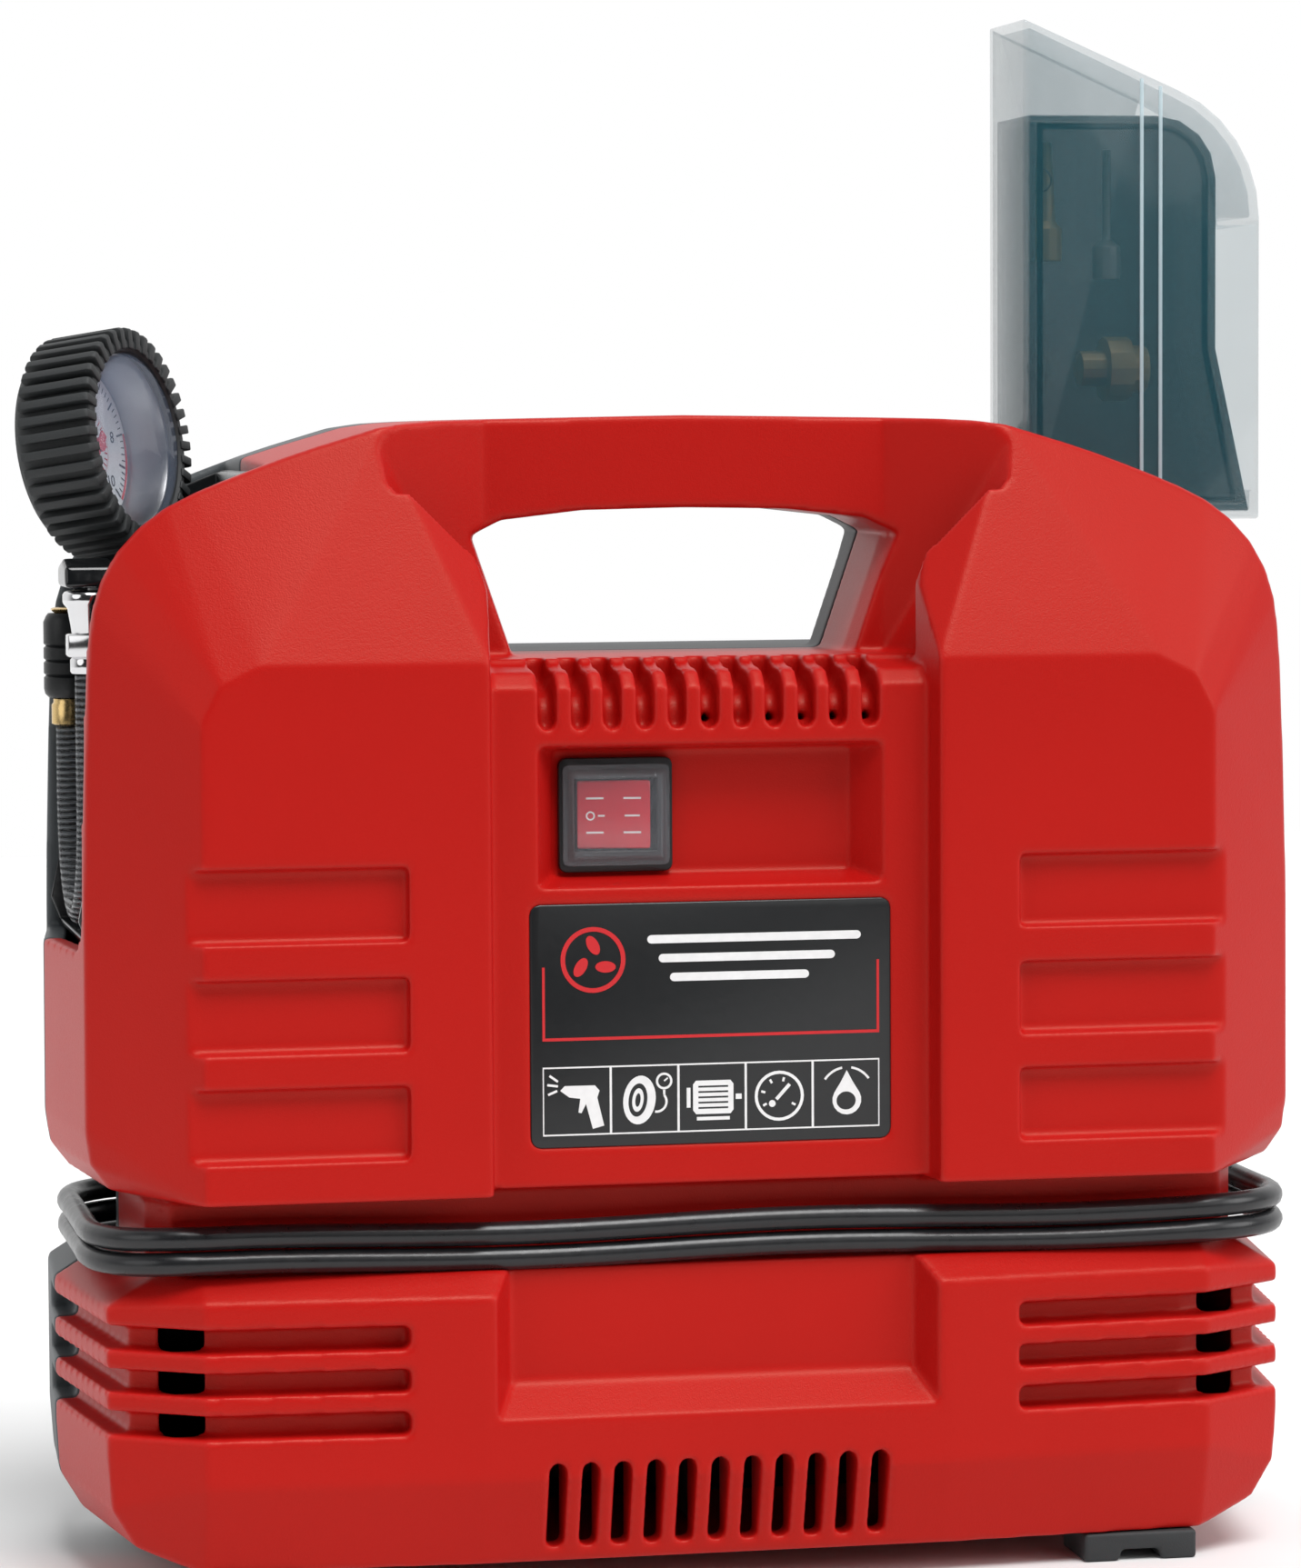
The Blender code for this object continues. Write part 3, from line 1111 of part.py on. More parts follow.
def gauge():
    axis = gauge_axis()
    middle = Vector(GAUGE_AT)
    back = -GAUGE_DEEP / 2
    front = GAUGE_DEEP / 2
    r = GAUGE_R - 2.0
    boot = turned([(0, back), (r - 5, back), (r, back + 4), (r, front - 2), (r - 3, front),
                   (DIAL_R + 1.5, front), (DIAL_R + 1.5, back + 6), (0, back + 6)],
                  middle, axis, RIB_COUNT * 2)
    spin = Vector((0, 0, 1)).rotation_difference(axis).to_matrix()
    for v in boot.verts:
        local = spin.inverted() @ (v.co - middle)
        flat = Vector((local.x, local.y))
        side = round(math.atan2(local.y, local.x) / (math.pi / RIB_COUNT)) % 2
        if flat.length > r - 0.1 and side:
            out = flat.normalized() * (r + 2.2)
            v.co = middle + spin @ Vector((out.x, out.y, local.z))
    make("gauge_boot", boot, RUBBER)
    inner = DIAL_R + 1.2
    make("gauge_case", turned([
        (0, back + 6.3), (inner, back + 6.3), (inner, front - 4), (inner - 1.5, front - 4),
        (inner - 1.5, back + 8.3), (0, back + 8.3)], middle, axis, SEG), STEEL, smooth=30)
    make("gauge_dial", rod(inner - 2, back + 8.6, back + 9.6, middle, axis), WHITE)
    make("gauge_lens", turned([
        (0, front - 1.6), (inner - 4, front - 1.6), (inner - 0.6, front - 3.7),
        (inner, front - 3.7), (inner, front - 1.8), (inner - 3.4, front + 0.2),
        (0, front + 1.2)], middle, axis, SEG), CLEAR, smooth=30)
    up = Vector((0, 0, 1)) - axis * axis.z
    up.normalize()
    side = axis.cross(up)
    level = back + 12.5
    start = math.radians(225)
    reach = side * math.cos(start) * -1 + up * math.sin(start)
    across = axis.cross(reach)
    tail = [(-4, 1.3), (15, 0.35), (15, -0.35), (-4, -1.3)]
    points = []
    for along, wide in tail:
        for lift in (0, 0.6):
            points.append(middle + axis * (level + lift) + reach * along + across * wide)
    needle = make("gauge_needle", hull(points), SIGNAL, at=middle + axis * level)
    join(needle, "hub", rod(2.0, level - 1.2, level + 1.0, middle, axis, 12))


def inflator():
    x0, x1 = GRIP_X
    y0, y1 = GRIP_Y
    z0, z1 = GRIP_Z
    profile = [(x0, z1), (x0 - 2, z1 - 10), (x0, z1 - 24), (x0 + 2, z0), (x1 - 10, z0),
               (x1 - 11, z1 - 34), (x1 - 6, z1 - 16), (x1 + 2, z1 - 8), (x1, z1)]
    body = make("inflator_body", prism(profile, "Y", y0, y1), BLACK)
    mid_y = (y0 + y1) / 2
    reach = GAUGE_AT[2] - GAUGE_R - 3.0
    stem = rod(6.5, z1 - 3, reach + 0.5, (GAUGE_AT[0] + 3, mid_y, 0), (0, 0, 1), 16)
    join(body, "stem", stem)
    button_at = (x1 - 7, mid_y, 0)
    cut(body, "button_well", rod(4.0, z1 - 6, z1 + 2, button_at, (0, 0, 1), 12))
    elbow_z = z1 + 2.0
    connector = turned([(0, 0), (5.2, 0), (5.2, 4), (6.8, 4), (6.8, 10), (5.2, 11), (5.2, 22),
                        (0, 22)], (HOSE_X, HOSE_FRONT_Y, elbow_z - 24), (0, 0, 1), 12)
    make("hose_connector", connector, CHROME, smooth=30)
    elbow = hull([(HOSE_X + sx * 6.5, y, z) for sx in (-1, 1)
                  for y, z in ((HOSE_FRONT_Y - 6.5, elbow_z - 1.7), (HOSE_FRONT_Y - 5, elbow_z + 4),
                               (HOSE_FRONT_Y + 4, elbow_z + 6), (y0 - GAP, elbow_z + 4),
                               (y0 - GAP, elbow_z - 1.7))])
    make("inflator_elbow", elbow, BLACK)
    low = BAY_FLOOR + LINER_WALL + GAP
    turn = (HOSE_REAR_Y - HOSE_FRONT_Y) / 2
    middle = (HOSE_REAR_Y + HOSE_FRONT_Y) / 2
    base = low + HOSE_D / 2 + turn + 1.0
    route = [(HOSE_X, HOSE_FRONT_Y, elbow_z - 24 - GAP), (HOSE_X, HOSE_FRONT_Y, base + 14)]
    route += [(HOSE_X, middle + y, base + z) for y, z in arc(0, 0, turn, 180, 360, 8)]
    route += [(HOSE_X, HOSE_REAR_Y, base + 12), (HOSE_X, HOSE_REAR_Y, base + 20)]
    tube("inflator_hose", route, HOSE_D, HOSE, 40)
    chuck = turned([(0, 0), (5, 0), (5, 8), (7, 9), (7, 30), (5.5, 32), (0, 32)],
                   (HOSE_X, HOSE_REAR_Y, base + 20 + GAP), (0, 0, 1), 12)
    make("tyre_chuck", chuck, BRASS, smooth=30)
    hinge = (x1 + 4.0, mid_y, z1 - 11.0)
    ear = 3.6
    for label, low in (("front", y0), ("rear", y1 - ear)):
        join(body, f"ear_{label}", box(x1 - 5, x1 + 7.5, low, low + ear, z1 - 16, z1 - 6))
    cut(body, "pin_holes", rod(PIN_R + GAP, y0 - 1, y1 + 1, (hinge[0], 0, hinge[2]), (0, 1, 0), 12))
    lever = [(x1 + 2.6, z1 - 4.5), (x1 + 7, z1 - 8), (x1 + 6.5, z1 - 20), (x1 + 1, z0 + 18),
             (x1 + 2, z0 + 6), (x1 - 0.5, z0 + 6), (x1 - 2, z0 + 18), (x1 + 2.6, z1 - 20)]
    inside = ear + GAP
    trigger = make("trigger", prism(lever, "Y", y0 + inside, y1 - inside), CHROME, at=hinge)
    join(trigger, "pin", rod(PIN_R, y0 + GAP, y1 - GAP, (hinge[0], 0, hinge[2]), (0, 1, 0), 12))
    button = rod(3.5, z1 - 1.0, z1 + 5.0, button_at, (0, 0, 1), 12)
    make("bleed_button", button, BRASS, smooth=30)


def clear_scene():
    for obj in list(bpy.data.objects):
        bpy.data.objects.remove(obj, do_unlink=True)


def build():
    clear_scene()
    front_shell()
    rear_shell()
    label_plate()
    for name, x, y in (("foot_front_left", -1, -1), ("foot_front_right", 1, -1),
                       ("foot_rear_left", -1, 1), ("foot_rear_right", 1, 1)):
        foot(name, x * FOOT_X, y * FOOT_Y)
    for number, place in enumerate(SCREWS):
        housing_screw(f"housing_screw_{number + 1}", *place)
    switch()
    tool_bay_liner()
    case_guide()
    accessory_case()
    power_cord()
    motor()
    pump()
    gauge()
    inflator()


build()
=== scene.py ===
"""Looks of a portable air compressor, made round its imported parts.

Everything is in metres in the machine's own frame: X to the right seen from
the switch side, Y to the back, Z up, with the floor at zero.
"""
import json
import math

import bpy
from mathutils import Matrix, Vector


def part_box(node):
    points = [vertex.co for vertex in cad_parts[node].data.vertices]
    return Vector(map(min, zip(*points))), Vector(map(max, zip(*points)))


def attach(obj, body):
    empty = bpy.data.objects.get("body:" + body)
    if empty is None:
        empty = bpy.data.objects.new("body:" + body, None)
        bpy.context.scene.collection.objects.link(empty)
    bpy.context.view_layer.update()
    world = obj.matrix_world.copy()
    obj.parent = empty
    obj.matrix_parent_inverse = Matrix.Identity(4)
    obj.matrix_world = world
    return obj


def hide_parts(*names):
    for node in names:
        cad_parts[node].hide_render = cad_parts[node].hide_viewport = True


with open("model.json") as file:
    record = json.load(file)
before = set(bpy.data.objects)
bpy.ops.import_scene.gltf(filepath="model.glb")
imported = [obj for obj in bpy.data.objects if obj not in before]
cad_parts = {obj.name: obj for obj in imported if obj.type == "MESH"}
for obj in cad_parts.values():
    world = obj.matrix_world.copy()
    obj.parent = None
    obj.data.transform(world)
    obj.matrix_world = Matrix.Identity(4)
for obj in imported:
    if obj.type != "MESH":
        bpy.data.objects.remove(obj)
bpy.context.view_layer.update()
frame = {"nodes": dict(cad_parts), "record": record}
NODES = frame["nodes"]
MM = 0.001
ORIGIN = (0, 0, 0)
UPWARDS = (0, 0, 1)
SLOT_OF = {row["node"]: row["material_slot"] for row in frame["record"]["subparts"]}


# ------------------------------------------------------------------ camera

CAMERA_PLACE = (-0.29202, -1.41942, 0.30291)
CAMERA_YAW = 11.444           # degrees
CAMERA_PITCH = 3.790
CAMERA_ROLL = -0.3049
CAMERA_LENS = 123.11          # millimetres, on a sensor this wide
CAMERA_SENSOR = 36.0


def make_camera():
    """The viewing angle: a little left of the front and a little above."""
    yaw = math.radians(CAMERA_YAW)
    pitch = math.radians(CAMERA_PITCH)
    roll = math.radians(CAMERA_ROLL)
    right = Vector((math.cos(yaw), -math.sin(yaw), 0))
    ahead = Vector((math.sin(yaw) * math.cos(pitch), math.cos(yaw) * math.cos(pitch),
                    -math.sin(pitch)))
    up = right.cross(ahead)
    x_axis = right * math.cos(roll) + up * math.sin(roll)
    y_axis = up * math.cos(roll) - right * math.sin(roll)
    data = bpy.data.cameras.new("camera")
    data.sensor_width = CAMERA_SENSOR
    data.lens = CAMERA_LENS
    camera = bpy.data.objects.new("camera", data)
    turn = Matrix((x_axis, y_axis, -ahead)).transposed()
    camera.matrix_world = Matrix.Translation(CAMERA_PLACE) @ turn.to_4x4()
    bpy.context.scene.collection.objects.link(camera)
    bpy.context.scene.camera = camera


make_camera()


# ------------------------------------------------------------------ shader maths

class Number:
    """A node's output that Python's operators work on, through Math nodes."""

    def __init__(self, finish, socket):
        self.finish = finish
        self.socket = socket

    def combine(self, operation, first, second):
        node = self.finish.node("ShaderNodeMath", {"operation": operation},
                                {0: first, 1: second})
        return Number(self.finish, node.outputs[0])

    def __add__(self, other):
        return self.combine("ADD", self, other)

    def __radd__(self, other):
        return self.combine("ADD", other, self)

    def __sub__(self, other):
        return self.combine("SUBTRACT", self, other)

    def __rsub__(self, other):
        return self.combine("SUBTRACT", other, self)

    def __mul__(self, other):
        return self.combine("MULTIPLY", self, other)


class Finish:
    """A material with one Principled shader and the nodes that feed it."""

    def __init__(self, title, **sockets):
        self.material = bpy.data.materials.new(title)
        self.material.use_nodes = True
        self.tree = self.material.node_tree
        self.shader = self.tree.nodes["Principled BSDF"]
        for name, value in sockets.items():
            label = name.replace("_", " ").title().replace("Ior", "IOR")
            self.shader.inputs[label].default_value = value
        self.place = self.node("ShaderNodeTexCoord").outputs["Object"]

    def node(self, kind, settings=None, values=None):
        """A node of a type, with its settings set first and then its sockets."""
        made = self.tree.nodes.new(kind)
        for name, value in (settings or {}).items():
            setattr(made, name, value)
        for key, value in (values or {}).items():
            self.feed(made.inputs[key], value)
        return made

    def feed(self, socket, value):
        """Link or set one socket."""
        if isinstance(value, Number):
            self.tree.links.new(value.socket, socket)
        elif isinstance(value, bpy.types.NodeSocket):
            self.tree.links.new(value, socket)
        else:
            socket.default_value = value

    def noise(self, scale, detail=2.0, roughness=0.5):
        """Noise over the piece, `scale` cells to the metre."""
        made = self.node("ShaderNodeTexNoise", None, {
            "Vector": self.place, "Scale": scale, "Detail": detail, "Roughness": roughness})
        return Number(self, made.outputs["Fac"])

    def blend(self, factor, first, second):
        """A colour between two colours."""
        made = self.node("ShaderNodeMix", {"data_type": "RGBA", "clamp_factor": True},
                         {"Factor": factor, 6: first, 7: second})
        return made.outputs[2]

    def bump(self, height, depth):
        """A bump `depth` metres deep that feeds the shader's normal."""
        made = self.node("ShaderNodeBump", None, {
            "Strength": 1.0, "Distance": depth, "Height": height})
        self.feed(self.shader.inputs["Normal"], made.outputs["Normal"])

    def set(self, label, value):
        """Link or set one of the shader's sockets."""
        self.feed(self.shader.inputs[label], value)


def rgba(red, green, blue):
    return (red, green, blue, 1.0)


# ------------------------------------------------------------------ finishes

EDGE_HIGHLIGHT_BEND = 0.515             # the pointiness where the painted edge highlight begins
EDGE_HIGHLIGHT_GAIN = 9.0


def moulded_plastic(name, colour, deep, rough, grain, sheen=(1.0, 1.0, 1.0)):
    """Spark-eroded moulding: a fine grain, faint clouds in the colour, and sharp edges lightened
    as a painted highlight.
    """
    finish = Finish(name, roughness=rough, ior=1.5)
    finish.shader.inputs["Specular IOR Level"].default_value = 0.30
    finish.shader.inputs["Specular Tint"].default_value = rgba(*sheen)
    cloud = finish.noise(14.0, 3.0)
    fine = finish.noise(2600.0, 1.0)
    body = finish.blend(cloud * 0.7 + fine * 0.3, rgba(*colour), rgba(*deep))
    # Painted highlight: the base colour is lightened on sharp convex edges, standing in for the
    # light that catches the ridges.
    bend = Number(finish, finish.node("ShaderNodeNewGeometry").outputs["Pointiness"])
    highlit_colour = [min(1.0, value * 1.25 + 0.035) for value in colour]
    edge_highlight = (bend - EDGE_HIGHLIGHT_BEND) * EDGE_HIGHLIGHT_GAIN * (0.35 + cloud * 0.6)
    finish.set("Base Color", finish.blend(edge_highlight, body, rgba(*highlit_colour)))
    finish.set("Roughness", rough - 0.05 + fine * 0.10 + cloud * 0.05)
    finish.bump(fine + finish.noise(900.0, 1.0) * 0.5, grain)
    return finish.material


def rubber(name, colour, rough):
    """Matt rubber with a dusty bloom."""
    finish = Finish(name, roughness=rough, ior=1.5)
    bloom = finish.noise(60.0, 4.0)
    fine = finish.noise(1800.0, 2.0)
    lighter = [value * 2.2 + 0.004 for value in colour]
    finish.set("Base Color", finish.blend(bloom * 0.6, rgba(*colour), rgba(*lighter)))
    finish.set("Roughness", rough - 0.1 + bloom * 0.2)
    finish.bump(fine, 0.00008)
    return finish.material


def sheath():
    """Flexible cord sheath: smooth and fairly glossy, with faint drawing lines."""
    finish = Finish("cord_sheath", roughness=0.28, ior=1.5)
    wave = finish.noise(260.0, 2.0)
    finish.set("Base Color", finish.blend(wave, rgba(0.006, 0.006, 0.007),
                                          rgba(0.014, 0.015, 0.017)))
    finish.set("Roughness", 0.22 + wave * 0.16)
    finish.bump(wave, 0.00006)
    return finish.material


def thin_clear(name, colour, alpha, rough):
    """Clear plastic thin enough that light goes straight through it."""
    finish = Finish(name, roughness=rough, ior=1.6)
    smear = finish.noise(45.0, 3.0)
    finish.shader.inputs["Coat Weight"].default_value = 0.6
    darker = [value * 0.9 for value in colour]
    finish.set("Base Color", finish.blend(smear, rgba(*colour), rgba(*darker)))
    finish.set("Roughness", rough + smear * 0.05)
    finish.set("Alpha", alpha + smear * 0.04)
    return finish.material


def braided_hose():
    """Clear hose with a pale spiral wound in its wall."""
    finish = Finish("clear_hose", roughness=0.16, ior=1.45)
    wave = finish.node("ShaderNodeTexWave", {"bands_direction": "Z"},
                       {"Vector": finish.place, "Scale": 190.0, "Distortion": 0.6})
    turns = Number(finish, wave.outputs["Fac"])
    finish.set("Base Color", finish.blend(turns, rgba(0.02, 0.022, 0.026),
                                          rgba(0.20, 0.215, 0.23)))
    finish.set("Alpha", 0.22 + turns * 0.42)
    finish.bump(turns, 0.0004)
    return finish.material


def gloss(name, colour, rough):
    """Glossy moulded plastic with slight orange peel."""
    finish = Finish(name, roughness=rough, ior=1.5)
    peel = finish.noise(420.0, 1.0)
    deeper = [value * 0.85 for value in colour]
    finish.set("Base Color", finish.blend(peel, rgba(*colour), rgba(*deeper)))
    finish.set("Roughness", rough - 0.03 + peel * 0.08)
    finish.bump(peel, 0.00003)
    return finish.material


def metal(name, colour, rough, grain=0.00002, scale=900.0, bare=1.0):
    """Bare metal with machining or casting marks."""
    finish = Finish(name, roughness=rough, metallic=bare)
    marks = finish.noise(scale, 3.0)
    stain = finish.noise(40.0, 3.0)
    darker = [value * 0.72 for value in colour]
    finish.set("Base Color", finish.blend(stain * 0.8, rgba(*colour), rgba(*darker)))
    finish.set("Roughness", rough - 0.06 + marks * 0.14)
    finish.bump(marks, grain)
    return finish.material


def wound_copper():
    """Enamelled wire: fine turns along the motor."""
    finish = Finish("copper_winding", roughness=0.35, metallic=0.9)
    wave = finish.node("ShaderNodeTexWave", {"bands_direction": "X"},
                       {"Vector": finish.place, "Scale": 260.0, "Distortion": 1.5})
    turns = Number(finish, wave.outputs["Fac"])
    finish.set("Base Color", finish.blend(turns, rgba(0.22, 0.07, 0.025),
                                          rgba(0.62, 0.26, 0.11)))
    finish.set("Roughness", 0.45 - turns * 0.15)
    finish.bump(turns, 0.0003)
    return finish.material


RED = moulded_plastic("red_shell", (0.47, 0.0065, 0.0055), (0.40, 0.005, 0.004), 0.38, 0.00006,
                      sheen=(1.0, 0.66, 0.50))
GREY = moulded_plastic("grey_shell", (0.075, 0.084, 0.09), (0.06, 0.068, 0.073), 0.46, 0.00006)
BLACK = moulded_plastic("black_plastic", (0.012, 0.013, 0.014), (0.007, 0.008, 0.009), 0.34,
                        0.00004)
RUBBER = rubber("black_rubber", (0.014, 0.016, 0.017), 0.62)
SHEATH = sheath()
SMOKE_LIGHT = thin_clear("smoke_clear_cover", (0.040, 0.16, 0.20), 0.22, 0.10)
SMOKE_DARK = thin_clear("smoke_clear_tray", (0.012, 0.042, 0.054), 0.74, 0.22)
SMOKE_FROST = thin_clear("smoke_clear_lid", (0.014, 0.048, 0.062), 0.26, 0.30)
SMOKE_RIM = thin_clear("smoke_clear_rim", (0.002, 0.016, 0.024), 0.80, 0.15)
# Painted highlight: the cover's ribs get a pale colour that stands for the light running along
# them.
SMOKE_RIB_HIGHLIGHT = thin_clear("smoke_clear_rib_painted_highlight", (0.62, 0.78, 0.84), 0.55, 0.08)
CLEAR = thin_clear("clear_plastic", (0.40, 0.42, 0.46), 0.08, 0.04)
LENS = thin_clear("clear_lens", (0.30, 0.38, 0.55), 0.13, 0.05)
HOSE = braided_hose()
LINER = gloss("liner_black", (0.007, 0.008, 0.009), 0.22)
SIGNAL = gloss("signal_red", (0.62, 0.012, 0.03), 0.14)
GLOSS_BLACK = gloss("gloss_black", (0.008, 0.009, 0.010), 0.12)
FILM = gloss("label_film", (0.011, 0.012, 0.013), 0.30)
PRINT_WHITE = gloss("print_white", (0.86, 0.86, 0.86), 0.4)
PRINT_RED = gloss("print_red", (0.62, 0.015, 0.02), 0.4)
PRINT_BLACK = gloss("print_black", (0.02, 0.02, 0.022), 0.5)
STEEL = metal("steel", (0.50, 0.50, 0.51), 0.34)
CHROME = metal("chrome", (0.78, 0.78, 0.79), 0.12, 0.000005, 300.0)
BRASS = metal("brass", (0.78, 0.55, 0.24), 0.26)
SATIN_BRASS = metal("satin_brass", (0.85, 0.62, 0.34), 0.42, bare=0.45)
SATIN_CHROME = metal("satin_chrome", (0.80, 0.80, 0.80), 0.38, bare=0.45)
ALLOY = metal("cast_alloy", (0.56, 0.57, 0.58), 0.48, 0.0001, 500.0)
COPPER = wound_copper()
DIAL = gloss("dial_white", (0.80, 0.82, 0.84), 0.45)

FINISH_OF_SLOT = {
    "red_shell": RED, "grey_shell": GREY, "black_plastic": BLACK, "black_rubber": RUBBER,
    "cord_sheath": SHEATH, "smoke_clear": SMOKE_LIGHT, "clear_plastic": CLEAR,
    "signal_red": SIGNAL, "steel": STEEL, "chrome": CHROME, "brass": BRASS,
    "cast_alloy": ALLOY, "copper_winding": COPPER, "dial_white": DIAL, "clear_hose": HOSE,
}
for node_name, cad_node in NODES.items():
    cad_node.data.materials.clear()
    cad_node.data.materials.append(FINISH_OF_SLOT[SLOT_OF[node_name]])


# ------------------------------------------------------------------ modelling tools

PIECES = {}                   # the softened copy of each node, by the node's name


def take(*pieces):
    """Select only these pieces; the first is the active one."""
    if bpy.context.object and bpy.context.object.mode != "OBJECT":
        bpy.ops.object.mode_set(mode="OBJECT")
    bpy.ops.object.select_all(action="DESELECT")
    for piece in pieces:
        piece.select_set(True)
    bpy.context.view_layer.objects.active = pieces[0]


def settle(piece):
    """Put the piece's place, turn and scale into its mesh."""
    take(piece)
    bpy.ops.object.transform_apply(location=True, rotation=True, scale=True)
    return piece


def apply_modifiers(piece):
    """Apply every modifier, in order."""
    take(piece)
    for modifier in list(piece.modifiers):
        bpy.ops.object.modifier_apply(modifier=modifier.name)
    return piece


def clean(piece, within=0.000002):
    """Merge doubles and turn every face outwards."""
    take(piece)
    bpy.ops.object.mode_set(mode="EDIT")
    bpy.ops.mesh.select_all(action="SELECT")
    bpy.ops.mesh.remove_doubles(threshold=within)
    bpy.ops.mesh.normals_make_consistent(inside=False)
    bpy.ops.object.mode_set(mode="OBJECT")
    return piece


def bevelled(piece, width, segments=3, angle=30.0):
    """Round every edge sharper than an angle."""
    modifier = piece.modifiers.new("edges", "BEVEL")
    modifier.width = width
    modifier.segments = segments
    modifier.limit_method = "ANGLE"
    modifier.angle_limit = math.radians(angle)
    modifier.harden_normals = False
    apply_modifiers(piece)
    return smooth(piece)


def smooth(piece, angle=40.0):
    """Shade smooth, but for edges sharper than an angle."""
    take(piece)
    bpy.ops.object.shade_smooth_by_angle(angle=math.radians(angle))
    return piece


def finished_on(piece, finish, body):
    """Give a piece its finish and its body."""
    piece.data.materials.clear()
    piece.data.materials.append(finish)
    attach(piece, body)
    return piece


def finished(piece, finish, node):
    """The same for a piece that stands for a node."""
    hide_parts(node)
    return finished_on(piece, finish, body_of(node))


def body_of(node):
    """The body that a node belongs to."""
    for body, members in frame["record"]["behaviour"]["bodies"].items():
        if node in members:
            return body
    return "housing"


def block(name, low, high):
    """A block between two corners."""
    middle = (Vector(low) + Vector(high)) / 2
    bpy.ops.object.select_all(action="DESELECT")
    bpy.ops.mesh.primitive_cube_add(size=1.0, location=middle)
    piece = bpy.context.object
    piece.name = name
    piece.scale = Vector(high) - Vector(low)
    return settle(piece)


def placed(name, data):
    """A new object in the scene, selected and active."""
    piece = bpy.data.objects.new(name, data)
    bpy.context.scene.collection.objects.link(piece)
    take(piece)
    return piece


def copied(node, name):
    """A merged copy of a CAD node's mesh, to work on."""
    piece = placed(name, NODES[node].data.copy())
    bpy.ops.object.mode_set(mode="EDIT")
    bpy.ops.mesh.select_all(action="SELECT")
    bpy.ops.mesh.remove_doubles(threshold=0.000005)
    bpy.ops.object.mode_set(mode="OBJECT")
    return piece


def softened(node, finish, width=0.0006, segments=3, angle=28.0):
    """The node's own shape with its edges rounded."""
    piece = PIECES[node] = copied(node, f"{node}_moulding")
    bpy.ops.object.mode_set(mode="EDIT")
    bpy.ops.mesh.dissolve_limited(angle_limit=math.radians(0.5))
    bpy.ops.object.mode_set(mode="OBJECT")
    bevelled(piece, width, segments, angle)
    return finished(piece, finish, node)


def turned(name, profile, centre, axis, steps=64):
    """A profile of (radius, height) points spun round an axis."""
    mesh = bpy.data.meshes.new(name)
    points = [(radius, 0, height) for radius, height in profile]
    mesh.from_pydata(points, [(k, k + 1) for k in range(len(points) - 1)], [])
    piece = placed(name, mesh)
    bpy.ops.object.mode_set(mode="EDIT")
    bpy.ops.mesh.select_all(action="SELECT")
    bpy.ops.mesh.spin(steps=steps, angle=2 * math.pi, center=(0, 0, 0), axis=(0, 0, 1))
    bpy.ops.mesh.remove_doubles(threshold=0.000001)
    bpy.ops.mesh.normals_make_consistent(inside=False)
    bpy.ops.object.mode_set(mode="OBJECT")
    turn = Vector((0, 0, 1)).rotation_difference(Vector(axis)).to_matrix().to_4x4()
    piece.matrix_world = Matrix.Translation(centre) @ turn
    settle(piece)
    return smooth(piece)


def thickened(name, points, faces, thick):
    """Flat faces made `thick` across in Y."""
    mesh = bpy.data.meshes.new(name)
    mesh.from_pydata(points, [], faces)
    piece = placed(name, mesh)
    bpy.ops.object.mode_set(mode="EDIT")
    bpy.ops.mesh.select_all(action="SELECT")
    bpy.ops.mesh.extrude_region_move(TRANSFORM_OT_translate={"value": (0, thick, 0)})
    bpy.ops.object.mode_set(mode="OBJECT")
    return clean(piece)


def plate_between(name, outline, thick):
    """A flat outline of (x, z) points in millimetres, `thick` across in Y."""
    points = [(x * MM, -thick / 2, z * MM) for x, z in outline]
    return thickened(name, points, [tuple(range(len(outline)))], thick)


def joined(name, *pieces):
    """Several pieces made one."""
    take(*pieces)
    bpy.ops.object.join()
    piece = bpy.context.object
    piece.name = name
    return piece


def cord_curve(name, points, diameter, finish):
    """A round cord on one smooth open spline."""
    data = bpy.data.curves.new(name, "CURVE")
    data.dimensions = "3D"
    data.bevel_depth = diameter / 2
    data.bevel_resolution = 5
    data.use_fill_caps = True
    spline = data.splines.new("POLY")
    spline.points.add(len(points) - 1)
    for spot, point in zip(spline.points, points):
        spot.co = (*point, 1.0)
    spline.use_smooth = True
    data.materials.append(finish)
    return placed(name, data)


def flowing(points, steps):
    """Points read at equal steps from a smooth curve through the given ones."""
    ends = [Vector(p) for p in points]
    ends = [2 * ends[0] - ends[1]] + ends + [2 * ends[-1] - ends[-2]]
    fine = []
    for a, b, c, d in zip(ends, ends[1:], ends[2:], ends[3:]):
        for k in range(16):
            t = k / 16
            fine.append(0.5 * (2 * b + (c - a) * t + (2 * a - 5 * b + 4 * c - d) * t ** 2
                               + (3 * b - a - 3 * c + d) * t ** 3))
    fine.append(ends[-2])
    run = [0.0]
    for p, q in zip(fine, fine[1:]):
        run.append(run[-1] + (q - p).length)
    made = []
    at = 0
    for k in range(steps + 1):
        want = run[-1] * k / steps
        while at < len(run) - 2 and run[at + 1] < want:
            at += 1
        share = (want - run[at]) / max(run[at + 1] - run[at], 1e-9)
        made.append(fine[at].lerp(fine[at + 1], min(1.0, share)))
    return made


def length_of(points):
    """The length of a line through points."""
    return sum((q - p).length for p, q in zip(points, points[1:]))


# ------------------------------------------------------------------ cords

